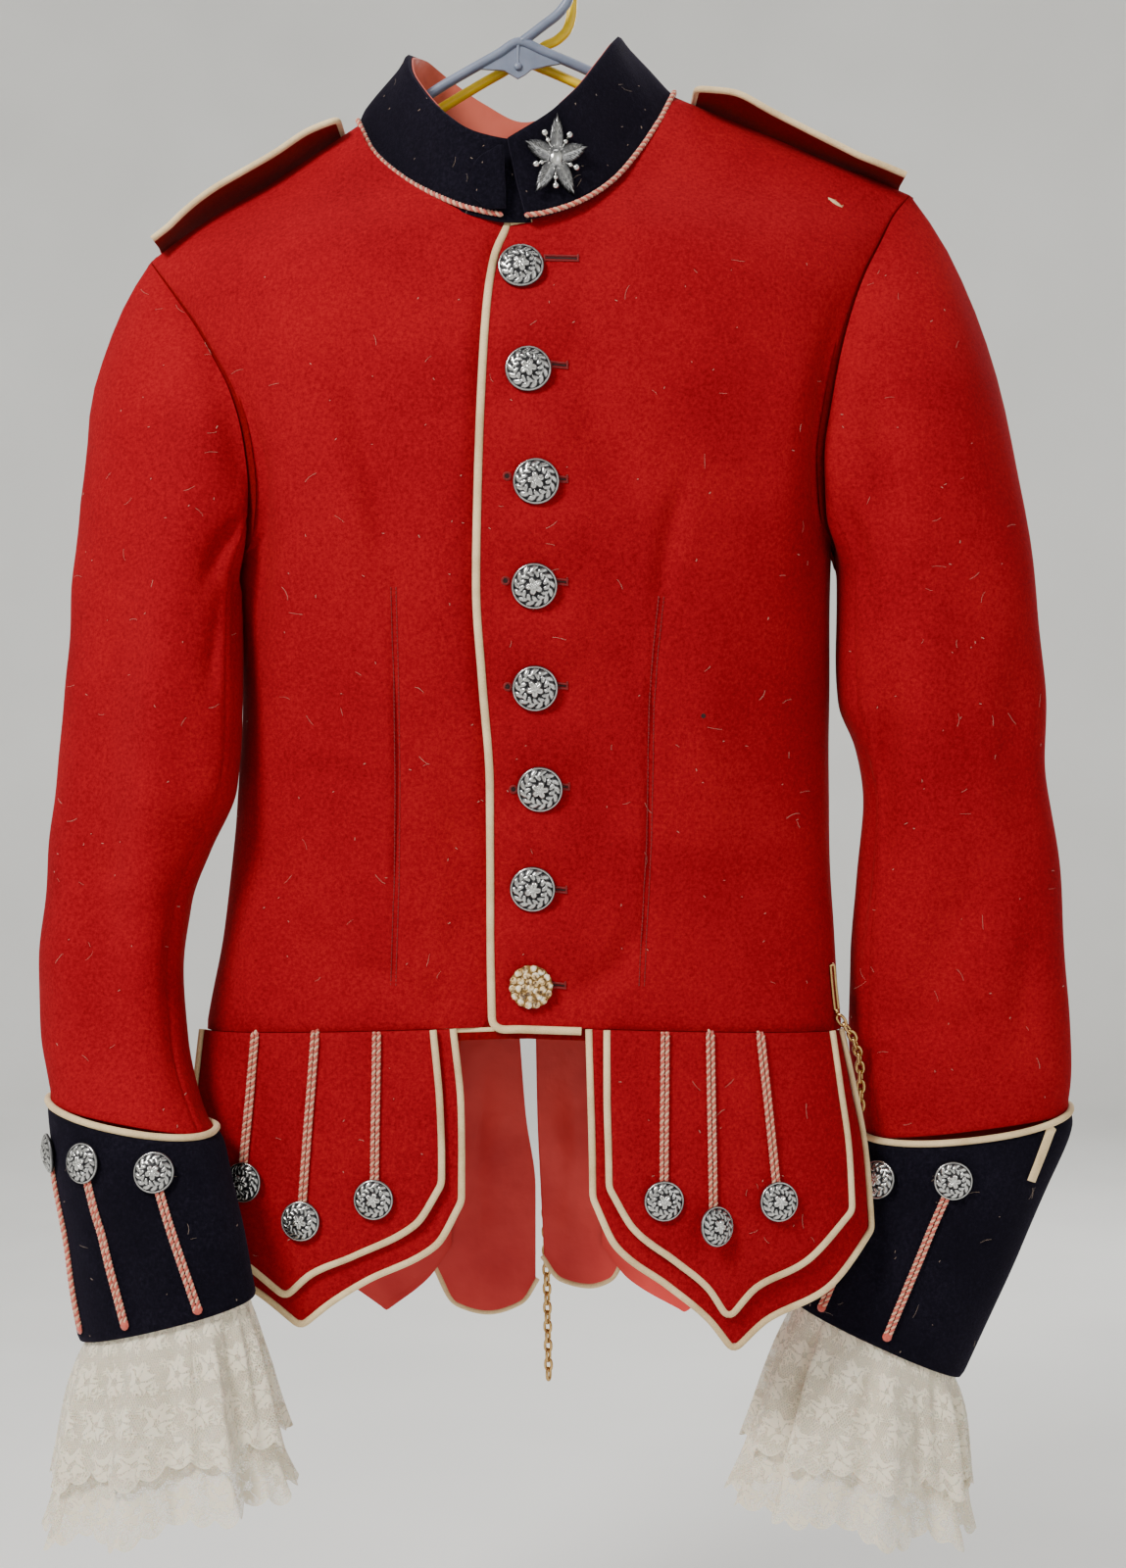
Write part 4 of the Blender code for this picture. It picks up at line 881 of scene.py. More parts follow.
def finer(grid, factor, round_about=False):
    """More rows on a smooth curve through the rows of a grid, along its first axis."""
    count = len(grid)
    if round_about:
        place = np.arange(count * factor) / factor
        whole = np.floor(place).astype(int)
        rows = [grid[(whole + k) % count] for k in (-1, 0, 1, 2)]
    else:
        place = np.arange((count - 1) * factor + 1) / factor
        whole = np.minimum(np.floor(place).astype(int), count - 2)
        longer = np.concatenate([[2 * grid[0] - grid[1]], grid, [2 * grid[-1] - grid[-2]]])
        rows = [longer[whole + k] for k in (0, 1, 2, 3)]
    t = (place - whole).reshape((-1,) + (1,) * (grid.ndim - 1))
    before, here, ahead, beyond = rows
    return (
        here
        + 0.5 * t * (ahead - before)
        + t**2 * (before - 2.5 * here + 2 * ahead - 0.5 * beyond)
        + t**3 * (1.5 * (here - ahead) + 0.5 * (beyond - before))
    )


def fine_grid(surface, rows, columns, round_about=False):
    """A fine grid of a surface function's points, sampled at the rows and columns."""
    grid = np.array([[tuple(surface(row, column)) for column in columns] for row in rows])
    grid = finer(grid, FINER)
    return np.swapaxes(finer(np.swapaxes(grid, 0, 1), FINER, round_about), 0, 1)


def lengths_along(grid):
    """How far each point is from the first, along the second axis."""
    step = np.linalg.norm(np.diff(grid, axis=1), axis=2)
    return np.concatenate([np.zeros((len(grid), 1)), np.cumsum(step, axis=1)], axis=1)


def edge_distances(grid):
    """Each point's distance from the first and last column and from the first and last row."""
    across = lengths_along(grid)
    down = lengths_along(np.swapaxes(grid, 0, 1)).T
    return {
        "first": across,
        "last": across[:, -1:] - across,
        "top": down,
        "bottom": down[-1:] - down,
    }


def crease_heights(x, z, creases):
    """How far soft troughs and ridges move each place: half width, height and route, all in millimetres."""
    total = np.zeros(x.shape)
    for width, height, route in creases:
        route = np.array(route, float) * MM
        steps = np.diff(route, axis=0)
        long = np.linalg.norm(steps, axis=1)
        start = np.concatenate([[0], np.cumsum(long)])
        nearest = np.full(x.shape, 1e9)
        share = np.zeros(x.shape)
        for k, (dx, dz) in enumerate(steps):
            along = ((x - route[k, 0]) * dx + (z - route[k, 1]) * dz) / long[k] ** 2
            along = np.clip(along, 0, 1)
            off = np.hypot(x - route[k, 0] - along * dx, z - route[k, 1] - along * dz)
            closer = off < nearest
            nearest = np.where(closer, off, nearest)
            share = np.where(closer, (start[k] + along * long[k]) / start[-1], share)
        end = np.clip(np.minimum(share, 1 - share) / 0.3, 0, 1)
        taper = 0.25 + 0.75 * end * end * (3 - 2 * end)
        total += height * MM * np.exp(-((nearest / (width * MM)) ** 2)) * taper
    return total


def ripples(grid, seed, height, length):
    """A soft unevenness made of a few long waves."""
    random = np.random.default_rng(seed)
    total = np.zeros(grid.shape[:2])
    for _ in range(7):
        way = random.normal(size=3)
        way /= np.linalg.norm(way)
        wave = length * MM * random.uniform(0.6, 1.6)
        total += np.sin(2 * math.pi * (grid @ way) / wave + random.uniform(0, 6.3))
    return total * height * MM / 2.6


def new_piece(
    name, points, faces, looks, looks_of_faces=None, uv=None, relief=None, slot=None, nodes=(), sharp=50
):
    """A mesh piece that rides on the part, with its looks by face."""
    mesh = bpy.data.meshes.new(name)
    mesh.from_pydata(
        np.asarray(points).tolist(), [],
        np.asarray(faces).tolist() if isinstance(faces, np.ndarray) else faces
    )
    for look in looks:
        mesh.materials.append(LOOKS[look])
    if looks_of_faces is not None:
        mesh.polygons.foreach_set("material_index", np.asarray(looks_of_faces, np.int32))
    if uv is not None:
        layer = mesh.uv_layers.new(name="cloth")
        corner = np.empty(len(mesh.loops), np.int32)
        mesh.loops.foreach_get("vertex_index", corner)
        layer.data.foreach_set("uv", np.asarray(uv, np.float32)[corner].ravel())
    for key, values in (relief or {}).items():
        attribute = mesh.attributes.new(key, "FLOAT", "POINT")
        attribute.data.foreach_set("value", np.asarray(values, np.float32))
    mesh.validate()
    mesh.shade_smooth()
    if sharp:
        mesh.set_sharp_from_angle(angle=math.radians(sharp))
    piece = bpy.data.objects.new(name, mesh)
    bpy.context.scene.collection.objects.link(piece)
    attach(piece, "root")
    if nodes:
        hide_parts(*nodes)
    return piece


def grid_quads(rows, columns, round_about, flipped, first=0):
    index = np.arange(rows * columns).reshape(rows, columns) + first
    if round_about:
        index = np.concatenate([index, index[:, :1]], axis=1)
    quads = np.stack(
        [index[:-1, :-1], index[:-1, 1:], index[1:, 1:], index[1:, :-1]], axis=-1
    ).reshape(-1, 4)
    return quads[:, ::-1] if flipped else quads


def shell(name, outer, out, looks, thick, round_about=False, **more):
    """A thin wall of cloth: its outer face has the first look and its inner face the second."""
    rows, columns = outer.shape[:2]
    flipped = (grid_normals(outer, round_about) * out).sum() < 0
    inner = outer - out * thick
    half = rows * columns
    faces = [
        grid_quads(rows, columns, round_about, flipped),
        grid_quads(rows, columns, round_about, not flipped, half)
    ]
    index = np.arange(half).reshape(rows, columns)
    rims = [index[0], index[-1][::-1]]
    if round_about:
        rims = [np.append(rim, rim[0]) for rim in (index[0], index[-1])]
        rims[1] = rims[1][::-1]
    else:
        rims += [index[::-1, 0], index[:, -1]]
    for rim in rims:
        a, b = rim[:-1], rim[1:]
        quad = np.stack([a, half + a, half + b, b], axis=-1)
        faces.append(quad[:, ::-1] if flipped else quad)
    kinds = np.concatenate([np.full(len(f), 1 if k == 1 else 0) for k, f in enumerate(faces)])
    points = np.concatenate([outer.reshape(-1, 3), inner.reshape(-1, 3)])
    return new_piece(name, points, np.concatenate(faces), looks, kinds, **more)


def roll_edges(outer, out, edges, distances, radius):
    """Turns the cloth's edges in, so that each seam shows as a soft groove."""
    sunk = np.zeros(outer.shape[:2])
    for edge in edges:
        near = np.clip(1 - distances[edge] / radius, 0, 1)
        sunk = np.maximum(sunk, radius * 0.5 * near**2)
    return outer - out * sunk[..., None]


# Soft troughs and ridges in the wool: half width, height, and route as x and z, in millimetres.
FRONT_CREASES = [
    (9, -2.5, [(-164, -273), (-148, -320), (-146, -365), (-150, -420)]),
    (15, 1.6, [(-132, -220), (-104, -315), (-87, -365), (-76, -409)]),
    (8, -1.8, [(-96, -270), (-79, -331), (-69, -387)]),
    (2.2, -1.3, [(-68, -381), (-67, -498), (-70, -612)]),
    (6, -1.4, [(-69, -611), (-78, -603), (-89, -602)]),
    (6, 1.2, [(-69, -595), (-57, -601), (-49, -615)]),
    (13, -2.2, [(-33, -498), (-26, -554), (-28, -609)]),
    (5, -0.9, [(-135, -494), (-104, -491), (-71, -501)]),
    (16, -1.1, [(-154, -526), (-132, -570), (-116, -620)]),
    (14, 1.2, [(-49, -287), (-42, -365), (-41, -442)]),
    (2.2, -1.3, [(80, -395), (75, -454), (74, -531), (70, -611)]),
    (6, -2.0, [(92, -331), (84, -365), (79, -404)]),
    (14, -1.5, [(32, -237), (43, -293), (68, -354)]),
    (9, -2.5, [(183, -232), (175, -287), (172, -354)]),
    (15, 1.8, [(162, -243), (153, -298), (150, -365)]),
    (8, -1.7, [(30, -619), (57, -601), (70, -573)]),
    (10, -1.3, [(29, -476), (45, -506), (62, -526)]),
    (12, -1.3, [(40, -387), (62, -415), (74, -442)]),
    (16, 1.2, [(106, -387), (104, -476), (110, -554)]),
    (7, -0.9, [(95, -542), (129, -554), (168, -548)]),
]
# The placket dips under each button and rises between them.
FRONT_CREASES += [(11, -1.3, [(-12, z), (x, z - 1), (x + 30, z - 6)]) for x, z in FRONT_BUTTONS]
FRONT_CREASES += [
    (13, 1.1, [(-12, z - 28), (x + 10, z - 29), (x + 34, z - 34)]) for x, z in FRONT_BUTTONS[:-1]
]
BACK_CREASES = [
    (2.0, -1.4, [(0, -150), (0, -300), (0, -480), (0, -640)]),
    (2.0, -1.2, [(-158, -300), (-118, -360), (-86, -450), (-66, -560), (-60, -638)]),
    (2.0, -1.2, [(172, -290), (128, -350), (92, -450), (68, -560), (62, -638)]),
    (15, 1.7, [(-120, -200), (-100, -280), (-96, -350)]),
    (12, -1.7, [(138, -190), (120, -270), (126, -340)]),
    (10, -1.5, [(-60, -560), (-34, -585), (-12, -600)]),
    (9, -1.3, [(50, -520), (32, -560), (20, -600)]),
    (16, 1.3, [(36, -220), (44, -330), (40, -430)]),
    (9, -1.8, [(-166, -330), (-150, -400), (-140, -470)]),
    (8, -1.6, [(178, -320), (162, -390), (150, -450)]),
]
SLEEVE_FRONT_CREASES = [
    (9, -1.8, [(-179, -237), (-162, -293), (-154, -343)]),
    (15, 2.6, [(-174, -293), (-191, -365), (-200, -442), (-207, -526), (-209, -609), (-203, -676)]),
    (16, -2.2, [(-224, -320), (-231, -415), (-235, -526), (-234, -653)]),
    (5, -2.2, [(-154, -348), (-167, -365), (-176, -387)]),
    (7, -1.6, [(-156, -365), (-164, -404), (-174, -454)]),
    (12, -1.2, [(-210, -237), (-204, -287), (-205, -331)]),
    (8, -1.2, [(-260, -531), (-240, -548), (-215, -542)]),
    (9, -3.0, [(216, -420), (210, -476), (200, -542), (195, -598)]),
    (20, 2.2, [(226, -365), (230, -465), (237, -554)]),
    (10, -2.0, [(201, -254), (205, -309), (210, -365)]),
    (14, -2.0, [(293, -409), (284, -476), (291, -542)]),
    (16, -2.2, [(264, -542), (242, -603), (224, -659)]),
    (10, -1.5, [(296, -581), (290, -653)]),
    (18, 1.2, [(240, -193), (249, -243), (256, -304)]),
    (6, -2.0, [(185, -337), (194, -365), (197, -393)]),
    (9, -1.2, [(206, -631), (240, -642), (279, -631)]),
]
SLEEVE_BACK_CREASES = [
    (12, -2.2, [(-250, -500), (-225, -520), (-200, -515)]),
    (14, 2.0, [(-230, -300), (-236, -400), (-240, -480)]),
    (10, -2.0, [(-180, -300), (-184, -360), (-196, -420)]),
    (9, -1.8, [(-262, -560), (-240, -585), (-214, -580)]),
    (14, -1.8, [(-246, -620), (-232, -660), (-214, -690)]),
    (12, -2.2, [(300, -500), (272, -520), (246, -512)]),
    (14, 2.0, [(252, -280), (262, -380), (266, -460)]),
    (10, -2.0, [(208, -300), (214, -360), (226, -420)]),
    (9, -1.8, [(304, -560), (284, -588), (256, -580)]),
    (14, -1.8, [(300, -620), (284, -650), (262, -690)]),
]

CREASE_GAIN = 2.0  # the folds as drawn, made this much deeper
SHEET_THICK = 1.5 * MM
SEAM_ROLL = 1.6 * MM
SEAM_EDGE_TAPER = 9 * MM


def taper_to(distances, edges, reach):
    """0 at the named edges and 1 beyond reach from them."""
    share = 1.0
    for edge in edges:
        t = np.clip(distances[edge] / reach, 0, 1)
        share = share * t * t * (3 - 2 * t)
    return share


def worked_cloth(grid, out, creases, still, rolled, seed, ripple=0.45, length=80, roll=SEAM_ROLL):
    """Moves a grid into its folds, holds the edges that are sewn on, and rolls them in."""
    distances = edge_distances(grid)
    x, z = grid[..., 0], grid[..., 2]
    facing = np.clip(-2 * out[..., 1], 0, 1)
    behind = np.clip(2 * out[..., 1], 0, 1)
    height = crease_heights(x, z, creases[0]) * facing + crease_heights(x, z, creases[1]) * behind
    height = CREASE_GAIN * height + ripples(grid, seed, ripple, length)
    height = height * taper_to(distances, still, SEAM_EDGE_TAPER)
    moved = grid + out * height[..., None]
    return roll_edges(moved, out, rolled, distances, roll)


def flat_size(grid):
    """The cut of a cloth from its grid: width, length and area."""
    across = lengths_along(grid)[:, -1].max()
    down = lengths_along(np.swapaxes(grid, 0, 1))[:, -1].max()
    a, b, c, d = grid[:-1, :-1], grid[:-1, 1:], grid[1:, 1:], grid[1:, :-1]
    first, second = np.cross(b - a, c - a), np.cross(c - a, d - a)
    area = (np.linalg.norm(first, axis=2) + np.linalg.norm(second, axis=2)).sum() / 2
    return float(across), float(down), float(area)


def declare_cloth(grid, round_about=False):
    """Works out a cloth piece's cut as it was before it was sewn in; nothing is kept."""
    if round_about:
        grid = np.concatenate([grid, grid[:, :1]], axis=1)
    width, length, area = flat_size(grid)
    width, length = math.ceil(width * 1000) / 1000, math.ceil(length * 1000) / 1000


# How many rows and columns of each cloth are worked out. A smooth curve then doubles them.
PANEL_GRID, SLEEVE_GRID, CUFF_GRID = (61, 45), (57, 31), (25, 72)
LACE_ROWS, FLAP_GRID, STRAP_GRID = 19, (19, 37), (43, 17)
FINER = 2
SLEEVE_END = 9.9  # where the sleeve's cloth stops inside the cuff, in rings from the armhole
PANEL_SEED, SLEEVE_SEED, CUFF_SEED, FLAP_SEED, TAIL_SEED, COLLAR_SEED = 11, 31, 51, 71, 83, 91
BUTTON_SEED, LINT_SEED, TEAR_SEED = 5, 17, 3
CUFF_WALL, LINING_WALL, STRAP_WALL = 2.2 * MM, 1.0 * MM, 2.0 * MM


def make_panel_cloth():
    for number, (face, side) in enumerate(PANELS):
        inside = Vector((0.1 * side, -face * 0.5, -0.3))
        rows, columns = np.linspace(0, LAST_ROW, PANEL_GRID[0]), np.linspace(0, 1, PANEL_GRID[1])
        grid = fine_grid(lambda row, across: panel_point(face, side, across, row), rows, columns)
        grid[..., 1] = face * np.maximum(face * grid[..., 1], 0.5 * SEAM_HALF)
        out = outward_normals(grid, inside, False)
        still = ["last", "top", "bottom"] + (["first"] if face == BACK else [])
        rolled = still if face == BACK else still + (["first"] if side == LEFT else [])
        cloth = worked_cloth(grid, out, (FRONT_CREASES, BACK_CREASES), still, rolled, PANEL_SEED + number)
        node = ("front_" if face == FRONT else "back_") + SIDE_NAME[side]
        piece = shell(
            f"wool_{node}", cloth, out, ["scarlet", "lining"], SHEET_THICK, slot="scarlet_wool",
            nodes=[node]
        )
        declare_cloth(grid)


def make_sleeve_cloth():
    downs = np.linspace(0, SLEEVE_END, SLEEVE_GRID[0])
    start, end = SEAM_ANGLES
    for side in (LEFT, RIGHT):
        for number, (part, low, high) in enumerate((("top", end - 360, start), ("under", start, end))):
            angles = np.linspace(low + SEAM_TURN / 3, high - SEAM_TURN / 3, SLEEVE_GRID[1])
            grid = fine_grid(lambda down, angle: sleeve_point(side, angle, down), downs, angles)
            ring_middles = (grid[:, :1] + grid[:, -1:]) / 2
            out = grid_normals(grid, False)
            out = out if (out * (grid - ring_middles)).sum() > 0 else -out
            seed = SLEEVE_SEED + number + 2 * side
            edges = ["first", "last", "top", "bottom"]
            cloth = worked_cloth(
                grid, out, (SLEEVE_FRONT_CREASES, SLEEVE_BACK_CREASES), edges, edges, seed, 0.7, 75
            )
            node = f"sleeve_{part}_{SIDE_NAME[side]}"
            piece = shell(
                f"wool_{node}", cloth, out, ["scarlet", "lining"], SHEET_THICK, slot="scarlet_wool",
                nodes=[node]
            )
            declare_cloth(grid)


def round_cloth(surface, rows, angles):
    grid = fine_grid(surface, rows, angles, True)
    return grid, outward_normals(grid, None, True)


CUFF_CREASES = (
    [
        (9, -1.0, [(-235, -730), (-215, -760), (-205, -790)]),
        (8, -1.1, [(236, -725), (214, -760), (206, -800)])
    ],
    [(9, -1.2, [(-230, -720), (-210, -770)]), (8, -1.2, [(262, -730), (240, -780)])],
)


def make_cuff_cloth():
    angles = 360 * np.arange(CUFF_GRID[1]) / CUFF_GRID[1]
    for side in (LEFT, RIGHT):

        def surface(share, angle):
            top = cuff_top(angle)
            tuck = 2.2 * MM * max(0.0, 1 - share / 0.2) ** 2
            return ring_point(side, top + (HEM_RING - top) * share, angle, CUFF_OUT - tuck)

        grid, out = round_cloth(surface, np.linspace(0, 1, CUFF_GRID[0]), angles)
        cloth = worked_cloth(
            grid, out, CUFF_CREASES, ["top", "bottom"], ["top", "bottom"], CUFF_SEED + side, 0.4, 70
        )
        node = f"cuff_{SIDE_NAME[side]}"
        piece = shell(
            f"wool_{node}", cloth, out, ["navy", "lining"], CUFF_WALL, True, slot="navy_wool", nodes=[node]
        )
        declare_cloth(grid, True)


ALLOWANCE_OUT = -2.4 * MM  # how far inside the cloth's face the turned-in cloth lies
ALLOWANCE_HALF, BACK_SEAM_HALF = 7 * MM, 6 * MM


def add_allowance(name, grid, round_about):
    faces = grid_quads(*grid.shape[:2], round_about, False)
    # The turned-in cloth takes the darker wool: painted shade.
    new_piece(f"allowance_{name}", grid.reshape(-1, 3), faces, ["shade"], slot="scarlet_wool")


def make_seam_allowances():
    """The turned-in cloth behind the armhole, waist and back seams, which closes them to the light."""
    for side in (LEFT, RIGHT):
        angles = np.arange(120) * 3.0
        grid = []
        for out in np.linspace(-5, 2.6, 5) * MM:
            row = []
            for angle in angles:
                here = armhole_point(side, angle, out)
                centre = Vector((side * 0.19, 0.0, -0.27))
                inwards = Vector((0, math.copysign(2.3 * MM, here.y), 0))
                row.append(here - (here - centre).normalized() * 0.4 * MM - inwards)
            grid.append([tuple(p) for p in row])
        add_allowance(f"armhole_{SIDE_NAME[side]}", np.array(grid), True)
    for face, name in ((FRONT, "front"), (BACK, "back")):
        grid = []
        for drop in np.linspace(ALLOWANCE_HALF, -ALLOWANCE_HALF, 7):
            places = [(x, waist_z(face, x) + drop) for x in np.linspace(-182, 188, 120) * MM]
            grid.append([tuple(body_point(x, z, face, ALLOWANCE_OUT)) for x, z in places])
        add_allowance(f"waist_{name}", np.array(grid), False)
    xs, heights = (-BACK_SEAM_HALF, 0.0, BACK_SEAM_HALF), np.linspace(-150, -650, 60) * MM
    grid = [[tuple(body_point(x, z, BACK, ALLOWANCE_OUT)) for x in xs] for z in heights]
    add_allowance("centre_back", np.array(grid), False)


LACE_SCALLOP = 15.0  # mm round the edge to each scallop
# Smaller gathers in each frill: how many, their share of the depth, and where they start.
LACE_EXTRA = {RIGHT: [(17, 0.5, 0.7), (26, 0.3, 2.1)], LEFT: [(16, 0.6, 1.9), (25, 0.35, 0.4)]}


def lace_surface(side, tier, drop, angle):
    """The frill's surface: the solid's waves, with the finer gathers between them."""
    rows = LACE_TIERS[tier]
    table = Table("drop spread wave inset", [(r[0], r[1], r[2], r[3]) for r in rows])
    spread, wave, inset = table.at(drop * MM) / MM
    point = lace_point(side, (drop, spread, wave, inset), angle)
    if drop <= 0:
        return point
    middle = ring_middle(side, HEM_RING)
    away = Vector((point.x - middle.x, point.y - middle.y, 0)).normalized()
    turn = math.radians(angle)
    gather = 0.0
    for waves, share, begin in LACE_EXTRA[side]:
        gather += share * math.sin(turn * waves + begin + (1.3 if tier == "upper" else 0.0) + 0.012 * drop)
    uneven = 0.75 + 0.25 * math.sin(turn * 3 + 1.0 + drop * 0.02)
    return point + away * gather * MM * 4.6 * uneven * min(drop / 22, 1.0)


def make_lace_cloth():
    around = 20 * LACE_WAVES
    for side in (LEFT, RIGHT):
        for tier, rows in LACE_TIERS.items():
            last = rows[-1][0]
            drops = np.linspace(rows[0][0], last, LACE_ROWS)
            angles = 360 * np.arange(around) / around
            grid, out = round_cloth(
                lambda drop, angle: lace_surface(side, tier, drop, angle), drops, angles
            )
            ring = np.concatenate([grid, grid[:, :1]], axis=1)
            along = lengths_along(ring)
            total = along[-1, -1] / MM
            repeats = round(total / LACE_SCALLOP)
            share = along[:, :-1] / along[:, -1:]
            down = lengths_along(np.swapaxes(grid, 0, 1)).T / MM
            edge = np.abs(np.sin(np.pi * share * repeats)) ** 0.7
            drop_share = np.linspace(0, 1, len(grid))[:, None]
            lift = (1 - edge) * 5.0 * MM * np.clip((drop_share - 0.6) / 0.4, 0, 1) ** 2
            grid[..., 2] += lift
            border = np.clip(1 - (1 - drop_share) * last / 2.6, 0, 1) * np.ones_like(share)
            uv = np.stack([share * total * 0.8, down], axis=-1)
            node = f"lace_{tier}_{SIDE_NAME[side]}"
            count, width = grid.shape[:2]
            flipped = (grid_normals(grid, True) * out).sum() < 0
            faces = grid_quads(count, width, True, flipped)
            piece = new_piece(
                f"net_{node}", grid.reshape(-1, 3), faces, ["lace"], uv=uv.reshape(-1, 2),
                relief={"border": border.ravel()}, slot="ivory_lace", nodes=[node], sharp=0,
            )
            declare_cloth(grid, True)


def hem_height(hem, across):
    """A flap's lower edge, which comes to a point at its lowest row."""
    hem = sorted(hem, key=lambda row: row[1])
    tip = min(range(len(hem)), key=lambda k: hem[k][0])
    part = hem[: tip + 1] if across * 1000 <= hem[tip][1] else hem[tip:]
    keys = np.array([row[1] for row in part], float) / 1000
    values = np.array([[row[0]] for row in part], float) * MM
    return float(smooth(keys, values, across)[0]) if len(part) > 1 else hem[tip][0] * MM


def flap_place(shape, face, across, down, out, pointed=True):
    edges, hem = shape
    edge_table = Table("z near far", edges)
    if pointed:
        low = hem_height(hem, across)
    else:
        low = Table("low across", [(a, z) for z, a in hem]).at(across, "across")
    near, far = edge_table.at(WAIST_FRONT)
    top = waist_z(face, near + (far - near) * across) - 0.35 * MM
    z = top + (low - top) * down
    near, far = edge_table.at(z)
    return body_point(near + (far - near) * across, z, face, out)


FLAP_CREASES = {
    FRONT: [
        (10, -0.9, [(-150, -650), (-146, -700), (-138, -750)]),
        (9, 0.8, [(-100, -655), (-96, -710), (-100, -760)]),
        (8, -0.8, [(70, -660), (78, -710), (84, -760)]),
        (11, 0.9, [(130, -650), (136, -700), (128, -760)]),
    ],
    BACK: [
        (10, -1.2, [(-110, -660), (-104, -720), (-108, -790)]),
        (10, -1.2, [(96, -660), (104, -720), (98, -790)]),
        (8, 1.0, [(-24, -670), (-28, -740), (-22, -800)]),
        (8, 1.0, [(30, -670), (34, -730), (28, -790)]),
    ],
}


def flap_grid(shape, face, out, pointed=True):
    down, across = (np.linspace(0, 1, count) for count in FLAP_GRID)
    return fine_grid(lambda d, a: flap_place(shape, face, a, d, out, pointed), down, across)


def make_flap_cloth():
    for (layer, side), shape in FLAPS.items():
        grid = flap_grid(shape, FRONT, FLAP_LAYER if layer == "top" else 0.0)
        out = outward_normals(grid, Vector((0, 0.5, -0.7)), False)
        creases = (FLAP_CREASES[FRONT], [])
        edges = ["first", "last", "top", "bottom"]
        cloth = worked_cloth(grid, out, creases, ["top"], edges, FLAP_SEED + side, 0.3, 60, 1.0 * MM)
        node = f"flap_{layer}_{SIDE_NAME[side]}"
        piece = shell(
            f"wool_{node}", cloth, out, ["scarlet", "lining"], SHEET_THICK, slot="scarlet_wool",
            nodes=[node]
        )
        declare_cloth(grid)


def make_tail_cloth():
    for shapes, name, lift, pointed in (
        (BACK_FLAPS, "back_flap", 0.0, True), (TAILS, "tail", LAYER, False)
    ):
        for side, shape in shapes.items():
            grid = flap_grid(shape, BACK, lift, pointed)
            out = outward_normals(grid, Vector((0, -0.5, -0.7)), False)
            edges = ["first", "last", "top", "bottom"]
            cloth = worked_cloth(
                grid, out, ([], FLAP_CREASES[BACK]), ["top"], edges, TAIL_SEED + side, 0.5, 50, 1.0 * MM
            )
            node = f"{name}_{SIDE_NAME[side]}"
            slot = "scarlet_wool" if name == "back_flap" else "salmon_lining"
            piece = shell(
                f"wool_{node}", cloth, out, ["scarlet", "lining"], SHEET_THICK, slot=slot, nodes=[node]
            )
            declare_cloth(grid)


class Gather:
    """Collects tubes and grids into one mesh, each with its look's number."""

    def __init__(self, height=1.0):
        self.points, self.faces, self.kinds, self.relief, self.count = [], [], [], [], 0
        self.height = height

    def add(self, points, faces, kind=0, relief=None):
        relief = self.height if relief is None else relief
        points = np.asarray(points, float)
        self.faces += [[self.count + int(i) for i in face] for face in faces]
        self.kinds += [kind] * len(faces)
        self.points.append(points)
        self.relief.append(np.broadcast_to(np.asarray(relief, float), (len(points),)))
        self.count += len(points)

    def tube(self, route, radius, kind=0, sides=8, normals=None, squash=1.0, closed=False, ends=True):
        """A cord of one radius, or one for each point, squashed along the normals."""
        route = np.asarray(route, float)
        frames = route_frames(route, normals, closed)
        radius = np.broadcast_to(np.asarray(radius, float), (len(route),))
        turn = np.arange(sides) * math.tau / sides
        cos, sin = np.cos(turn)[None, :, None], np.sin(turn)[None, :, None]
        ring = cos * frames[0][:, None] + squash * sin * frames[1][:, None]
        points = route[:, None] + radius[:, None, None] * ring
        faces = []
        rows = len(route) if closed else len(route) - 1
        for i in range(rows):
            a, b = i * sides, (i + 1) % len(route) * sides
            faces += [(a + j, a + (j + 1) % sides, b + (j + 1) % sides, b + j) for j in range(sides)]
        if not closed and ends:
            faces += [tuple(range(sides))[::-1], tuple((len(route) - 1) * sides + j for j in range(sides))]
        self.add(points.reshape(-1, 3), faces, kind)

    def piece(self, name, looks, **more):
        relief = {"relief": np.concatenate(self.relief)}
        return new_piece(
            name, np.concatenate(self.points), self.faces, looks, self.kinds, relief=relief, **more
        )


def unit(vectors):
    return vectors / np.maximum(np.linalg.norm(vectors, axis=-1, keepdims=True), 1e-12)


def route_frames(route, normals=None, closed=False):
    """Side and lift directions at each point of a route."""
    if closed:
        ahead = unit(np.roll(route, -1, axis=0) - np.roll(route, 1, axis=0))
    else:
        ahead = unit(np.gradient(route, axis=0))
    if normals is None:
        lift = np.cross(ahead[0], (0.0, 1.0, 0.0))
        if np.linalg.norm(lift) < 0.2:
            lift = np.cross(ahead[0], (1.0, 0.0, 0.0))
        lifts = []
        for way in ahead:
            lift = lift - way * (lift @ way)
            lift = lift / np.linalg.norm(lift)
            lifts.append(lift)
        lifts = np.array(lifts)
    else:
        lifts = np.asarray(normals, float)
        lifts = unit(lifts - ahead * (lifts * ahead).sum(axis=1, keepdims=True))
    return np.cross(lifts, ahead), lifts


def evenly(route, pitch, closed=False):
    """Points evenly spaced along a polyline."""
    route = np.asarray(route, float)
    if closed:
        route = np.concatenate([route, route[:1]])
    long = np.concatenate([[0], np.cumsum(np.linalg.norm(np.diff(route, axis=0), axis=1))])
    count = max(3, int(round(long[-1] / pitch)) + 1)
    keys = np.linspace(0, long[-1], count)
    found = np.stack([np.interp(keys, long, route[:, k]) for k in range(route.shape[1])], axis=-1)
    return found[:-1] if closed else found


def softened(route, times=3):
    """A route with its corners eased."""
    route = np.array(route, float)
    for _ in range(times):
        route[1:-1] = (route[:-2] + 2 * route[1:-1] + route[2:]) / 4
    return route


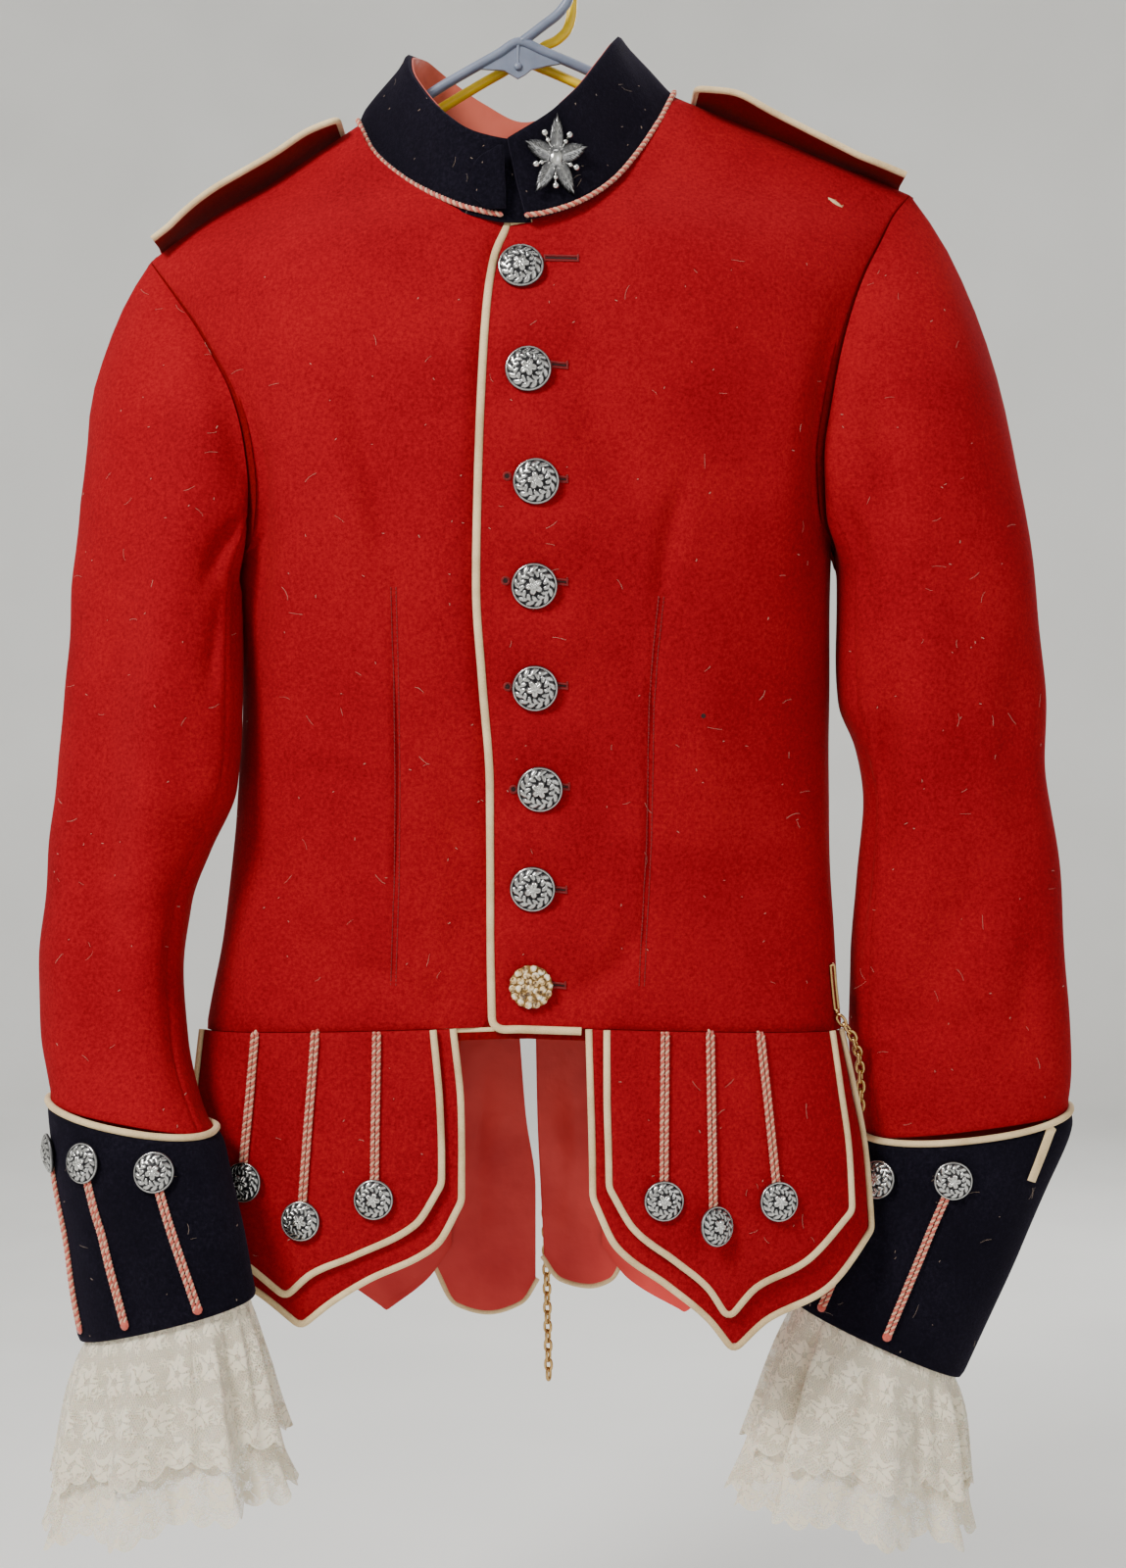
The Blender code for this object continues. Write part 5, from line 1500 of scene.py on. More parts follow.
def twisted(gather, route, normals, strand, coil, pitch, kinds, way=1, sides=6):
    """Strands wound round a route."""
    side, lift = route_frames(np.asarray(route, float), normals)
    along = np.concatenate([[0], np.cumsum(np.linalg.norm(np.diff(route, axis=0), axis=1))])
    for number, kind in enumerate(kinds):
        turn = way * math.tau * along / pitch + math.tau * number / len(kinds)
        path = route + coil * (np.cos(turn)[:, None] * side + np.sin(turn)[:, None] * lift)
        gather.tube(path, strand, kind, sides)


def mesh_tree(*names):
    """A search tree of the named pieces."""
    points, faces = [], []
    for name in names:
        mesh = bpy.data.objects[name].data
        first = len(points)
        faces += [[first + i for i in face.vertices] for face in mesh.polygons]
        points += [corner.co.copy() for corner in mesh.vertices]
    return BVHTree.FromPolygons(points, faces)


ON_CLOTH_REACH = 8 * MM  # how far past an edge a place is still taken to the nearest cloth


def on_cloth(tree, x, z, out=0.0, face=FRONT):
    """The place and normal of the cloth that shows at x and z from the front or the back."""
    place, normal, _, _ = tree.ray_cast(Vector((x, face * 1.0, z)), Vector((0, -face, 0)))
    if place is None:
        place, normal, _, _ = tree.find_nearest(body_point(x, z, face), ON_CLOTH_REACH)
    if place is None:
        return None
    if normal.y * face < 0:
        normal = -normal
    return place + normal * out, normal


def parted(found):
    """The places and the normals of a route on the cloth, apart."""
    return [tuple(p) for p, _ in found], [tuple(n) for _, n in found]


def rest_place(point, normal, radius, tree):
    """Where along the normal a flat back of that radius rests on the cloth."""
    away = 20 * MM
    side = normal.orthogonal().normalized()
    other = normal.cross(side)
    lift = -away
    for share in (0.0, 0.6, 1.0):
        for step in range(10):
            turn = math.tau * step / 10
            start = point + normal * away + (
                side * math.cos(turn) + other * math.sin(turn)
            ) * radius * share
            place, _, _, distance = tree.ray_cast(start, -normal)
            if place is not None:
                lift = max(lift, away - distance)
    return point + normal * lift


# The outline of a button's section: radius and height by the button's radius, from the back to the rim.
BUTTON_BACK_PROFILE = [
    (0.0, 0.0), (0.3, 0.0), (0.55, 0.02), (0.82, 0.08), (0.96, 0.14), (1.0, 0.2), (0.99, 0.25)
]
BUTTON_LEAVES, BUTTON_PETALS = 13, 5


def button_relief(r, turn):
    """The height of a generic flower in a wreath of paired leaves, 0 to 1, on a button of radius 1."""
    lobe = np.abs(np.cos(turn * BUTTON_PETALS / 2))
    petal = np.clip((0.2 + 0.2 * lobe**0.7 - r) / 0.05, 0, 1)
    flower = petal * (0.5 + 0.45 * np.clip(np.abs(np.sin(turn * BUTTON_PETALS / 2)) / 0.3, 0, 1))
    flower = flower * np.clip(r / 0.13, 0.35, 1)
    boss = np.sqrt(np.clip(1 - (r / 0.11) ** 2, 0, 1))
    leaves = []
    for way in (-1, 1):
        off = (r - 0.66 - way * 0.11) / 0.13
        place = (turn * BUTTON_LEAVES / math.tau + way * (r - 0.66) * 2.1 + 0.25 * way) % 1.0 - 0.5
        width = 0.4 * np.sqrt(np.clip(1 - off**2, 0, 1)) + 1e-6
        leaf = np.clip(1 - (place / width) ** 2, 0, 1) ** 0.5 * (np.abs(off) < 1)
        leaves.append(leaf * np.clip(np.abs(place) / 0.07, 0.55, 1) * 0.85)
    stem = np.clip(1 - ((r - 0.66) / 0.025) ** 2, 0, 1) * 0.7
    rim = np.clip(1 - ((r - 0.95) / 0.04) ** 2, 0, 1)
    return np.maximum.reduce([flower, boss, *leaves, stem, rim * 0.8])


def add_button(gather, seat, normal, radius, twist, relief_height=0.1, rings=28, around=84):
    """A domed button with a relief, its back on the seat."""
    turn_to = normal.to_track_quat("Z", "Y").to_matrix()
    turn = np.arange(around) * math.tau / around
    rows, high = [], []
    for reach, height in BUTTON_BACK_PROFILE[1:]:
        rows.append(np.stack(
            [reach * np.cos(turn), reach * np.sin(turn), np.full(around, height)], axis=-1
        ))
        high.append(np.full(around, 0.3))
    for reach in np.linspace(0.975, 0.0, rings):
        reach = max(reach, 1e-3)
        lift = button_relief(np.full(around, reach), turn + twist)
        dome = 0.25 + 0.27 * (1 - (reach / 0.98) ** 2)
        rows.append(np.stack(
            [reach * np.cos(turn), reach * np.sin(turn), dome + relief_height * (lift - 0.4)], axis=-1
        ))
        high.append(0.1 + 0.9 * lift)
    grid = np.array(rows) * radius
    points = grid.reshape(-1, 3) @ np.array(turn_to).T + np.array(seat)
    faces = grid_quads(len(rows), around, True, False).tolist()
    faces.append(list(range(around))[::-1])
    gather.add(points, faces, 0, np.concatenate(high))


def add_stone(gather, place, turn_to, radius, kind):
    """A small faceted stone."""
    sides = 8
    points = []
    for reach, height, shift in ((1.0, 0.0, 0.0), (1.0, 0.25, 0.0), (0.6, 0.75, 0.5)):
        for j in range(sides):
            turn = math.tau * (j + shift) / sides
            points.append((reach * math.cos(turn), reach * math.sin(turn), height))
    points = np.array(points) * radius @ np.array(turn_to).T + np.array(place)
    faces = [tuple(range(sides))[::-1], tuple(2 * sides + j for j in range(sides))]
    for j in range(sides):
        k = (j + 1) % sides
        faces.append((j, k, sides + k, sides + j))
        faces += [(sides + j, sides + k, 2 * sides + j), (sides + k, 2 * sides + k, 2 * sides + j)]
    gather.add(points, faces, kind)


def add_stone_button(gather, seat, normal, radius):
    """A gilt button set with rings of faceted stones."""
    turn_to = normal.to_track_quat("Z", "Y").to_matrix()
    around = 48
    turn = np.arange(around) * math.tau / around
    rows = []
    for reach, height in [
        (0.2, 0.0), (0.7, 0.04), (0.94, 0.14), (0.97, 0.24), (0.8, 0.3), (0.4, 0.42), (0.01, 0.46)
    ]:
        scallop = reach * (1 + 0.025 * np.cos(14 * turn) * (reach > 0.9))
        rows.append(np.stack(
            [scallop * np.cos(turn), scallop * np.sin(turn), np.full(around, height)], axis=-1
        ))
    points = (np.array(rows) * radius).reshape(-1, 3) @ np.array(turn_to).T + np.array(seat)
    faces = grid_quads(len(rows), around, True, False).tolist() + [list(range(around))[::-1]]
    gather.add(points, faces, 0, 0.35)
    for count, reach, height, size in (
        (14, 0.83, 0.29, 0.17), (9, 0.54, 0.37, 0.18), (5, 0.27, 0.43, 0.15), (1, 0.0, 0.47, 0.17)
    ):
        for j in range(count):
            angle = math.tau * (j + 0.3 * count % 1) / count
            place = Vector((reach * math.cos(angle), reach * math.sin(angle), height)) * radius
            add_stone(gather, seat + turn_to @ place, turn_to, size * radius, 1)


FLAP_BUTTON_LEAN = (0.55, 0.0, 0.1)  # this button hangs turned to one side
FLAP_BUTTON_DROOP = Vector((0, -3.2 * MM, 0))
SEAT_SHARE = 0.3  # the part of a button's radius that sits on the cloth


def make_button_pieces():
    random = np.random.default_rng(BUTTON_SEED)
    fronts = mesh_tree("wool_front_left", "wool_front_right")
    jobs = []
    for number, (x, z) in enumerate(FRONT_BUTTONS, 1):
        normal = body_normal(x * MM, z * MM, FRONT)
        seat = rest_place(
            body_point(x * MM, z * MM, FRONT), normal, FRONT_BUTTON_RADIUS * SEAT_SHARE, fronts
        )
        jobs.append((f"front_button_{number}", seat, normal, FRONT_BUTTON_RADIUS))
    for side, places in FLAP_BUTTONS.items():
        flap = mesh_tree(f"wool_flap_top_{SIDE_NAME[side]}")
        for number, (x, z) in enumerate(places, 1):
            normal = body_normal(x * MM, z * MM, FRONT)
            if (side, number) == (LEFT, 2):
                normal = (normal + Vector(FLAP_BUTTON_LEAN)).normalized()
            place = body_point(x * MM, z * MM, FRONT, FLAP_LAYER)
            seat = rest_place(place, normal, SMALL_BUTTON_RADIUS * SEAT_SHARE, flap)
            if (side, number) == (LEFT, 2):
                seat = seat + FLAP_BUTTON_DROOP
            jobs.append((f"flap_button_{SIDE_NAME[side]}_{number}", seat, normal, SMALL_BUTTON_RADIUS))
    for side, angles in CUFF_BUTTON_ANGLES.items():
        cuff = mesh_tree(f"wool_cuff_{SIDE_NAME[side]}")
        for number, angle in enumerate(angles, 1):
            place, normal = cuff_place(side, CUFF_BUTTON_RING, angle)
            seat = rest_place(place, normal, SMALL_BUTTON_RADIUS * SEAT_SHARE, cuff)
            jobs.append((f"cuff_button_{SIDE_NAME[side]}_{number}", seat, normal, SMALL_BUTTON_RADIUS))
    for node, seat, normal, radius in jobs:
        gather = Gather()
        if node == f"front_button_{len(FRONT_BUTTONS)}":
            add_stone_button(gather, seat, normal, radius * 0.98)
            gather.piece(f"metal_{node}", ["gilt", "stone"], slot="gilt", nodes=[node], sharp=12)
        else:
            add_button(gather, seat, normal, radius, random.uniform(0, 6.3))
            gather.piece(f"metal_{node}", ["silver"], slot="old_silver", nodes=[node], sharp=0)


# Braids on the front flaps: x and z of the top and of the end under each button, in millimetres.
FLAP_BRAIDS = {
    RIGHT: [((-149, -638), (-156, -719)), ((-114, -638), (-121, -737)), ((-79, -638), (-80, -725))],
    LEFT: [((83, -638), (82.5, -725)), ((108.5, -638), (110, -739)), ((137, -638), (146, -727))],
}
CUFF_BRAID_TURN = {RIGHT: 12, LEFT: -3}  # degrees that each cuff braid turns on its way down
BRAID_STRAND, BRAID_COIL, BRAID_PITCH = 0.74 * MM, 0.6 * MM, 3.9 * MM
BRAID_HALF = 1.32 * MM


def add_braid(gather, route, normals):
    """Two twisted cords laid side by side, with their ends bound together."""
    route = np.asarray(route, float)
    side, lift = route_frames(route, normals)
    for way in (1, -1):
        path = route + side * BRAID_HALF * way + lift * (BRAID_STRAND + BRAID_COIL)
        twisted(gather, path, normals, BRAID_STRAND, BRAID_COIL, BRAID_PITCH, (0, 1), 1, 6)
    end = route[-1] + lift[-1] * BRAID_STRAND
    ball = [end + lift[-1] * BRAID_STRAND * k for k in (-1.0, 0.0, 1.0, 1.9, 2.4)]
    gather.tube(ball, np.array([0.9, 2.4, 2.8, 2.2, 0.7]) * MM, 0, 10)


def make_braids():
    for side, braids in FLAP_BRAIDS.items():
        flap = mesh_tree(f"wool_flap_top_{SIDE_NAME[side]}")
        gather = Gather()
        for top, end in braids:
            places = [on_cloth(flap, *(Vector(top).lerp(Vector(end), k / 130) * MM)) for k in range(131)]
            places = [p for p in places if p is not None]
            add_braid(gather, softened([tuple(p[0]) for p in places]), [tuple(p[1]) for p in places])
        gather.piece(f"braid_flap_{SIDE_NAME[side]}", ["salmon", "pale"], slot="salmon_cord")
    for side, angles in CUFF_BUTTON_ANGLES.items():
        cuff = mesh_tree(f"wool_cuff_{SIDE_NAME[side]}")
        gather = Gather()
        for angle in angles:
            path, normals = [], []
            for k in range(121):
                share = k / 120
                ring = CUFF_BUTTON_RING + 0.05 + (HEM_RING - 0.17 - CUFF_BUTTON_RING) * share
                place, normal = cuff_place(side, ring, angle + CUFF_BRAID_TURN[side] * share)
                near, _, _, _ = cuff.find_nearest(place)
                path.append(tuple(near))
                normals.append(tuple(normal))
            add_braid(gather, softened(path), normals)
        gather.piece(f"braid_cuff_{SIDE_NAME[side]}", ["salmon", "pale"], slot="salmon_cord")


def outline_route(place, sides, overhang, face):
    """A route round a flap: sides says which edges it follows. Each point is moved off the edge."""
    steps = np.linspace(0, 1, 60)
    parts = {
        "near": [(0, d) for d in steps], "hem": [(a, 1) for a in np.linspace(0, 1, 120)], "far": [
            (1, d) for d in steps[::-1]
        ],
    }
    route = np.array([tuple(place(a, d)) for part in sides for a, d in parts[part]])
    keep = np.concatenate([[True], np.linalg.norm(np.diff(route, axis=0), axis=1) > 1e-6])
    route = evenly(route[keep], 1.2 * MM)
    route = softened(route, 4)
    centre = np.array(tuple(place(0.5, 0.5)))
    ahead = unit(np.gradient(route, axis=0))
    off = unit(np.cross(ahead, (0.0, face, 0.0)))
    if ((route - centre) * off).sum() < 0:
        off = -off
    normals = [tuple(body_normal(x, z, face)) for x, _, z in route]
    return route + off * overhang, normals


def felt_piece(name, route, radius, normals, squash=1.0, closed=False, nodes=()):
    """A cream piping along a route."""
    gather = Gather()
    gather.tube(route, radius, 0, 10, normals, squash, closed)
    gather.piece(f"felt_{name}", ["cream"], slot="cream_piping", nodes=nodes)


def make_flap_pipings():
    for (layer, side), shape in FLAPS.items():
        out = FLAP_LAYER - 0.7 * MM if layer == "top" else -0.7 * MM
        route, normals = outline_route(
            lambda a, d: flap_place(shape, FRONT, a, d, out),
            ("near", "hem", "far"), PIPING_RADIUS - 0.3 * MM, FRONT,
        )
        node = f"flap_{layer}_{SIDE_NAME[side]}_piping"
        felt_piece(node, route, PIPING_RADIUS, normals, 0.85, nodes=[node])


def make_tail_pipings():
    for side, shape in TAILS.items():
        route, normals = outline_route(
            lambda a, d: flap_place(
                shape, BACK, a, d, LAYER - 0.7 * MM, False
            ), ("hem", "far"), 1.2 * MM, BACK
        )
        felt_piece(f"tail_{SIDE_NAME[side]}", route, PIPING_RADIUS * 0.85, normals, 0.9)


def make_front_piping():
    """Down the over front's edge, along the waist and over the top corner."""
    front = mesh_tree("wool_front_left", "wool_front_right")
    route, normals = [], []
    for z in np.linspace(-185.5, -635, 240) * MM:
        x = FRONT_EDGE.at(min(z, -187 * MM), "x") - 1.2 * MM
        place, normal = on_cloth(front, x + 2.2 * MM, z)
        route.append((x, place.y + 0.2 * MM, z))
        normals.append(tuple(normal))
    for x in np.linspace(-10, 36, 40) * MM:
        low = waist_z(FRONT, x) - 1.6 * MM
        point = body_point(x, low, FRONT, -0.4 * MM)
        route.append(tuple(point))
        normals.append(tuple(body_normal(x, low, FRONT)))
    route = softened(route, 5)
    gather = Gather()
    gather.tube(route, PIPING_RADIUS * 1.12, 0, 10, normals, 0.8)
    top = [(x, route[0][1] - 1.2 * MM, -185.6 * MM + x * 0.16) for x in np.linspace(-3.5, 8.5, 12) * MM]
    gather.tube(top, PIPING_RADIUS * 1.05, 0, 10, [(0, -1, 0)] * 12, 0.8)
    gather.piece("felt_front_piping", ["cream"], slot="cream_piping", nodes=["front_piping"])
    under = [tuple(body_point(
        x, waist_z(FRONT, x) - 1.4 * MM, FRONT, -3.4 * MM
    )) for x in np.linspace(-44, -13, 30) * MM]
    felt_piece("under_front", under, PIPING_RADIUS * 0.9, [(0, -1, 0)] * 30, 0.8)


def make_cuff_pipings():
    for side in (LEFT, RIGHT):
        middle = ring_middle(side, CUFF_RING)
        route, normals = [], []
        for angle in np.arange(180) * 2.0:
            here = ring_point(side, cuff_top(angle), angle, CUFF_OUT - 2.0 * MM)
            above = ring_point(side, cuff_top(angle) - 0.2, angle, CUFF_OUT - 2.0 * MM)
            route.append(tuple(here + (above - here).normalized() * 1.2 * MM))
            normals.append(tuple((here - middle).normalized()))
        node = f"cuff_piping_{SIDE_NAME[side]}"
        felt_piece(node, route, PIPING_RADIUS, normals, closed=True, nodes=[node])


def collar_curves(count):
    base = resampled([Vector(p) * MM for p in COLLAR_BASE], count)
    top = resampled([Vector(p) * MM for p in COLLAR_TOP], count)
    return np.array([tuple(p) for p in base]), np.array([tuple(p) for p in top])


def along_curve(curve, shares):
    keys = np.linspace(0, 1, len(curve))
    return np.stack([np.interp(shares, keys, curve[:, k]) for k in range(3)], axis=-1)


COLLAR_START = (0.016, 0.001)  # where the over end's edge starts along the seam and along the top edge
COLLAR_TUCK = -0.025  # how far the collar goes down behind the neck seam, by its height
COLLAR_POINTS, COLLAR_GRID = 361, (27, 241)
LINED = np.s_[2:, 21:-33]  # the part of the collar's grid that has a lining
LINING_GAP = 1.2 * MM


def make_collar_pieces():
    base, top = collar_curves(COLLAR_POINTS)
    middle = (base.mean(axis=0) + top.mean(axis=0)) / 2
    rows = []
    for share in np.linspace(COLLAR_TUCK, 1, COLLAR_GRID[0]):
        start = COLLAR_START[0] + (COLLAR_START[1] - COLLAR_START[0]) * max(share, 0.0)
        places = np.linspace(start, 1, COLLAR_GRID[1])
        rows.append(along_curve(base, places) * (1 - share) + along_curve(top, places) * share)
    grid = np.array(rows)
    out = grid_normals(grid, False)
    out = out * np.sign(((grid - middle) * out).sum())
    distances = edge_distances(grid)
    bend = ripples(grid, COLLAR_SEED, 0.9, 60) * taper_to(distances, ["bottom", "top"], 12 * MM)
    cloth = roll_edges(grid + out * bend[..., None], out, ["bottom", "first", "last"], distances, 1.6 * MM)
    collar = shell(
        "wool_collar", cloth, out, ["navy", "navy"], COLLAR_THICK, slot="navy_wool", nodes=["collar"]
    )
    declare_cloth(grid)
    inner = (grid - out * (COLLAR_THICK + LINING_GAP))[LINED]
    lining = shell(
        "satin_collar_lining", inner, out[LINED], ["faded", "faded"], LINING_WALL,
        slot="salmon_lining", nodes=["collar_lining"],
    )
    declare_cloth(inner)
    up, along = unit(top - base), unit(np.gradient(base, axis=0))
    away = unit(np.cross(along, up))
    away = away * np.sign(((base - middle) * away).sum())
    low = np.clip((base[:, :1] + 10 * MM) / (24 * MM), 0, 1) * np.clip(-base[:, 1:2] / (20 * MM), 0, 1)
    route = evenly((base + up * (2.2 - 2.6 * low) * MM + away * 1.6 * MM)[5:-10], 0.55 * MM)
    gather = Gather()
    twisted(gather, route, None, 0.85 * MM, 0.75 * MM, 4.6 * MM, (0, 1), 1, 6)
    gather.piece("cord_collar", ["salmon", "pale"], slot="salmon_cord", nodes=["collar_cord"])


def make_tab_piece():
    """The rounded tongue at the collar's front, with its edges rolled in."""
    table = Table("z left right", COLLAR_TAB)
    rows = np.linspace(COLLAR_TAB[0][0], COLLAR_TAB[-1][0], 31) * MM
    grid = []
    for z in rows:
        left, right = table.at(z)
        xs = left + (right - left) * np.linspace(0, 1, 25)
        grid.append([(x, TAB_Y * MM - TAB_TURN * (x - right) - 0.8 * MM, z) for x in xs])
    grid = np.array(grid)
    out = outward_normals(grid, Vector((0, 0.5, -0.15)), False)
    distances = edge_distances(grid)
    cloth = roll_edges(grid, out, ["first", "last", "top", "bottom"], distances, 1.4 * MM)
    tab = shell(
        "wool_collar_tab", cloth, out, ["navy", "navy"], CLOTH, slot="navy_wool", nodes=["collar_tab"]
    )
    declare_cloth(grid)


BADGE_GRID = (200, 30)  # points round each ring, and rings


def make_badge_piece():
    """A plain sprig of leaves round a boss."""
    base, top = collar_curves(37)
    i = min(range(1, len(base) // 3), key=lambda k: abs((base[k][0] + top[k][0]) / 2 - BADGE_X))
    up, along = unit(top[i] - base[i]), unit(base[i + 1] - base[i - 1])
    out = np.cross(along, up)
    out = unit(-out if out[1] > 0 else out)
    seat = base[i] * 0.48 + top[i] * 0.52 + out * 0.7 * MM
    around, rings = BADGE_GRID
    turn = np.arange(around) * math.tau / around
    share = (turn * BADGE_LEAVES / math.tau + 0.5) % 1.0 - 0.5
    edge = 0.33 + 0.67 * (1 - 2 * np.abs(share)) ** 1.15 * (1 + 0.06 * np.cos(share * 75))
    rows, high = [], []
    for r in np.concatenate([[1.0, 1.0], np.linspace(0.985, 0.002, rings)]):
        under = not rows
        reach = edge * r
        rib = np.exp(-((share * reach * 3.2) ** 2) / 0.006) * (reach > 0.3)
        veins = 0.5 + 0.5 * np.cos((reach * 1.0 - np.abs(share) * 1.6) * 46)
        body = np.clip((1 - r) / 0.16, 0, 1) ** 0.5 * (0.5 + 0.5 * (1 - (2 * share) ** 2))
        boss = np.sqrt(np.clip(1 - (reach / 0.2) ** 2, 0, 1))
        ring = np.clip(1 - ((reach - 0.27) / 0.035) ** 2, 0, 1) * (0.7 + 0.3 * np.cos(turn * 24))
        lift = np.maximum.reduce([
            body * 0.55 + 0.12 * rib + 0.05 * veins * (reach > 0.33), boss * 1.25, ring * 0.75
        ])
        height = np.where(under, 0.0, 0.7 * MM + 2.1 * MM * lift)
        flat_along, flat_up = BADGE_HALF[0] * reach * np.cos(turn), BADGE_HALF[1] * reach * np.sin(turn)
        flat = along * flat_along[:, None] + up * flat_up[:, None]
        rows.append(seat + flat + out * np.asarray(height)[..., None])
        high.append(np.clip(0.95 * lift - 0.3 * (veins < 0.3) * (reach > 0.33), 0.03, 1))
    gather = Gather()
    faces = grid_quads(len(rows), around, True, False).tolist() + [list(range(around))[::-1]]
    gather.add(np.array(rows).reshape(-1, 3), faces, 0, np.concatenate(high))
    for j in range(BADGE_LEAVES):
        turn = math.tau * (j + 0.5) / BADGE_LEAVES
        way = along * BADGE_HALF[0] * math.cos(turn) + up * BADGE_HALF[1] * math.sin(turn)
        for reach, size in ((0.47, 1.5), (0.66, 2.0)):
            ball = [seat + way * reach + out * h * size * MM for h in (0.0, 0.3, 0.9, 1.4, 1.7)]
            gather.tube(ball, np.array([0.55, 0.9, 1.0, 0.7, 0.15]) * size * MM, 0, 14)
        stem = [seat + out * 0.8 * MM + way * r for r in (0.2, 0.4, 0.6)]
        gather.tube(stem, 0.55 * MM, 0, 8)
    gather.piece("metal_badge", ["silver"], slot="old_silver", nodes=["badge"], sharp=0)


def strap_point(side, row, share):
    x, z = Table("x z", STRAP_EDGE[side], numbered=True).at(row)
    ridge_z = RIDGE[side].at(abs(x), "z")
    lift = z - ridge_z
    rest = ridge_z + 3.2 * MM - 6 * MM * max(0.0, share - 0.5) * 2
    height = max(rest, ridge_z + lift * (1 - share) ** 1.2 + 3.2 * MM * share)
    return Vector((x, STRAP_FRONT_Y + (STRAP_BACK_Y - STRAP_FRONT_Y) * share, height))


def make_strap_pieces():
    for side in STRAP_EDGE:
        rows = np.linspace(0, len(STRAP_EDGE[side]) - 1, STRAP_GRID[0])
        grid = fine_grid(
            lambda row, share: strap_point(side, row, share), rows, np.linspace(0, 1, STRAP_GRID[1])
        )
        out = outward_normals(grid, Vector((0, 0, -3)), False)
        node = f"strap_{SIDE_NAME[side]}"
        # The strap's underside takes the darker wool: painted shade.
        piece = shell(
            f"wool_{node}", grid, out, ["scarlet", "shade"], STRAP_WALL, slot="scarlet_wool", nodes=[node]
        )
        declare_cloth(grid)
        loop = np.concatenate([grid[::-1, 0], grid[0, 1:-1], grid[:, -1]])
        lifts = np.concatenate([out[::-1, 0], out[0, 1:-1], out[:, -1]])
        loop = loop - lifts * 0.9 * MM
        centre = grid.mean(axis=(0, 1))
        loop = softened(loop, 6)
        ahead = unit(np.gradient(loop, axis=0))
        off = unit(np.cross(ahead, lifts))
        off = off * np.sign(((loop - centre) * off).sum())
        felt_piece(f"strap_{SIDE_NAME[side]}", loop + off * 0.6 * MM, 1.9 * MM, lifts)


def make_hanger_pieces():
    for name, arms, hook, y, look, slot in (
        ("hanger_blue", BLUE_ARMS, BLUE_HOOK, 0.0, "blue", "blue_grey_plastic"),
        ("hanger_yellow", YELLOW_ARMS, YELLOW_HOOK, YELLOW_Y, "yellow", "yellow_plastic"),
    ):
        gather = Gather()
        for number, rows in enumerate((arms, hook)):
            points = [Vector((x * MM, y, z * MM)) for x, z in rows]
            route = np.array([tuple(p) for p in resampled(points, HANGER_STEPS)])
            size = np.full(len(route), HANGER_RADIUS)
            size[0] = size[-1] = 0.45 * HANGER_RADIUS
            size[1] = size[-2] = 0.85 * HANGER_RADIUS
            squash = 1.0 if name == "hanger_blue" or number == 0 else 0.75
            gather.tube(route, size, 0, 18, [(0, -1, 0)] * len(route), squash)
        if name == "hanger_blue":
            add_gusset(gather)
        gather.piece(f"moulding_{name}", [look], slot=slot, nodes=[name], sharp=40)


def add_gusset(gather):
    count = len(GUSSET)
    points = [(x * MM, way * GUSSET_HALF, z * MM) for way in (-1, 1) for x, z in GUSSET]
    faces = [tuple(range(count)), tuple(range(count, 2 * count))[::-1]]
    faces += [(j, count + j, count + (j + 1) % count, (j + 1) % count) for j in range(count)]
    gather.add(points, faces)
    lug = [(-0.8 * MM, y * MM, -74.8 * MM) for y in (-3.0, -2.7, -1.9, 1.9, 2.7, 3.0)]
    gather.tube(lug, np.array([0.6, 1.8, 2.4, 2.4, 1.8, 0.6]) * MM, 0, 20)
    ridge = [(-0.8 * MM, -1.0 * MM, z * MM) for z in (-62, -66, -70, -73)]
    gather.tube(ridge, np.array([1.2, 0.8, 0.7, 0.6]) * MM, 0, 8)


LINK_LONG, LINK_WIDE, LINK_WIRE, LINK_STEPS = 9.4 * MM, 6.2 * MM, 0.95 * MM, 24
LINK_PITCH = 0.62  # from one link to the next, by a link's length
CHAIN_STEPS = 500
GILT_RELIEF = 0.62  # how bright the wire is, between the metal's hollows and its high points


def add_link(gather, centre, ahead, lift):
    """An oval wire link lying along ahead, flat across lift."""
    side = np.cross(lift, ahead)
    turn = np.arange(LINK_STEPS) * math.tau / LINK_STEPS
    along = np.sign(np.cos(turn)) * np.abs(np.cos(turn)) ** 0.85 * (LINK_LONG / 2 - LINK_WIRE)
    across = np.sin(turn) * (LINK_WIDE / 2 - LINK_WIRE)
    loop = centre + along[:, None] * ahead + across[:, None] * side
    gather.tube(loop, LINK_WIRE, 0, 8, np.tile(lift, (LINK_STEPS, 1)), 1.0, True)


def chain_route():
    start = bpy.data.objects["wire_side_hook"]["foot"]
    points = [Vector(start)] + [Vector(p) * MM for p in CHAIN]
    return np.array([tuple(p) for p in resampled(points, CHAIN_STEPS)])


def make_chain_piece():
    """Oval links, each turned a quarter from the last, round the side and down under the tails."""
    route = evenly(chain_route(), LINK_LONG * LINK_PITCH)
    side, lift = route_frames(route, np.tile((0.3, -1.0, 0.1), (len(route), 1)))
    gather = Gather(GILT_RELIEF)
    for k in range(1, len(route) - 1):
        ahead = unit(route[k + 1] - route[k - 1])
        turn = math.pi / 4 + (math.pi / 2 if k % 2 else 0.0)
        face = math.cos(turn) * lift[k] + math.sin(turn) * side[k]
        add_link(gather, route[k], ahead, face)
    gather.piece("wire_chain", ["gilt"], slot="gilt", nodes=["chain"], sharp=0)


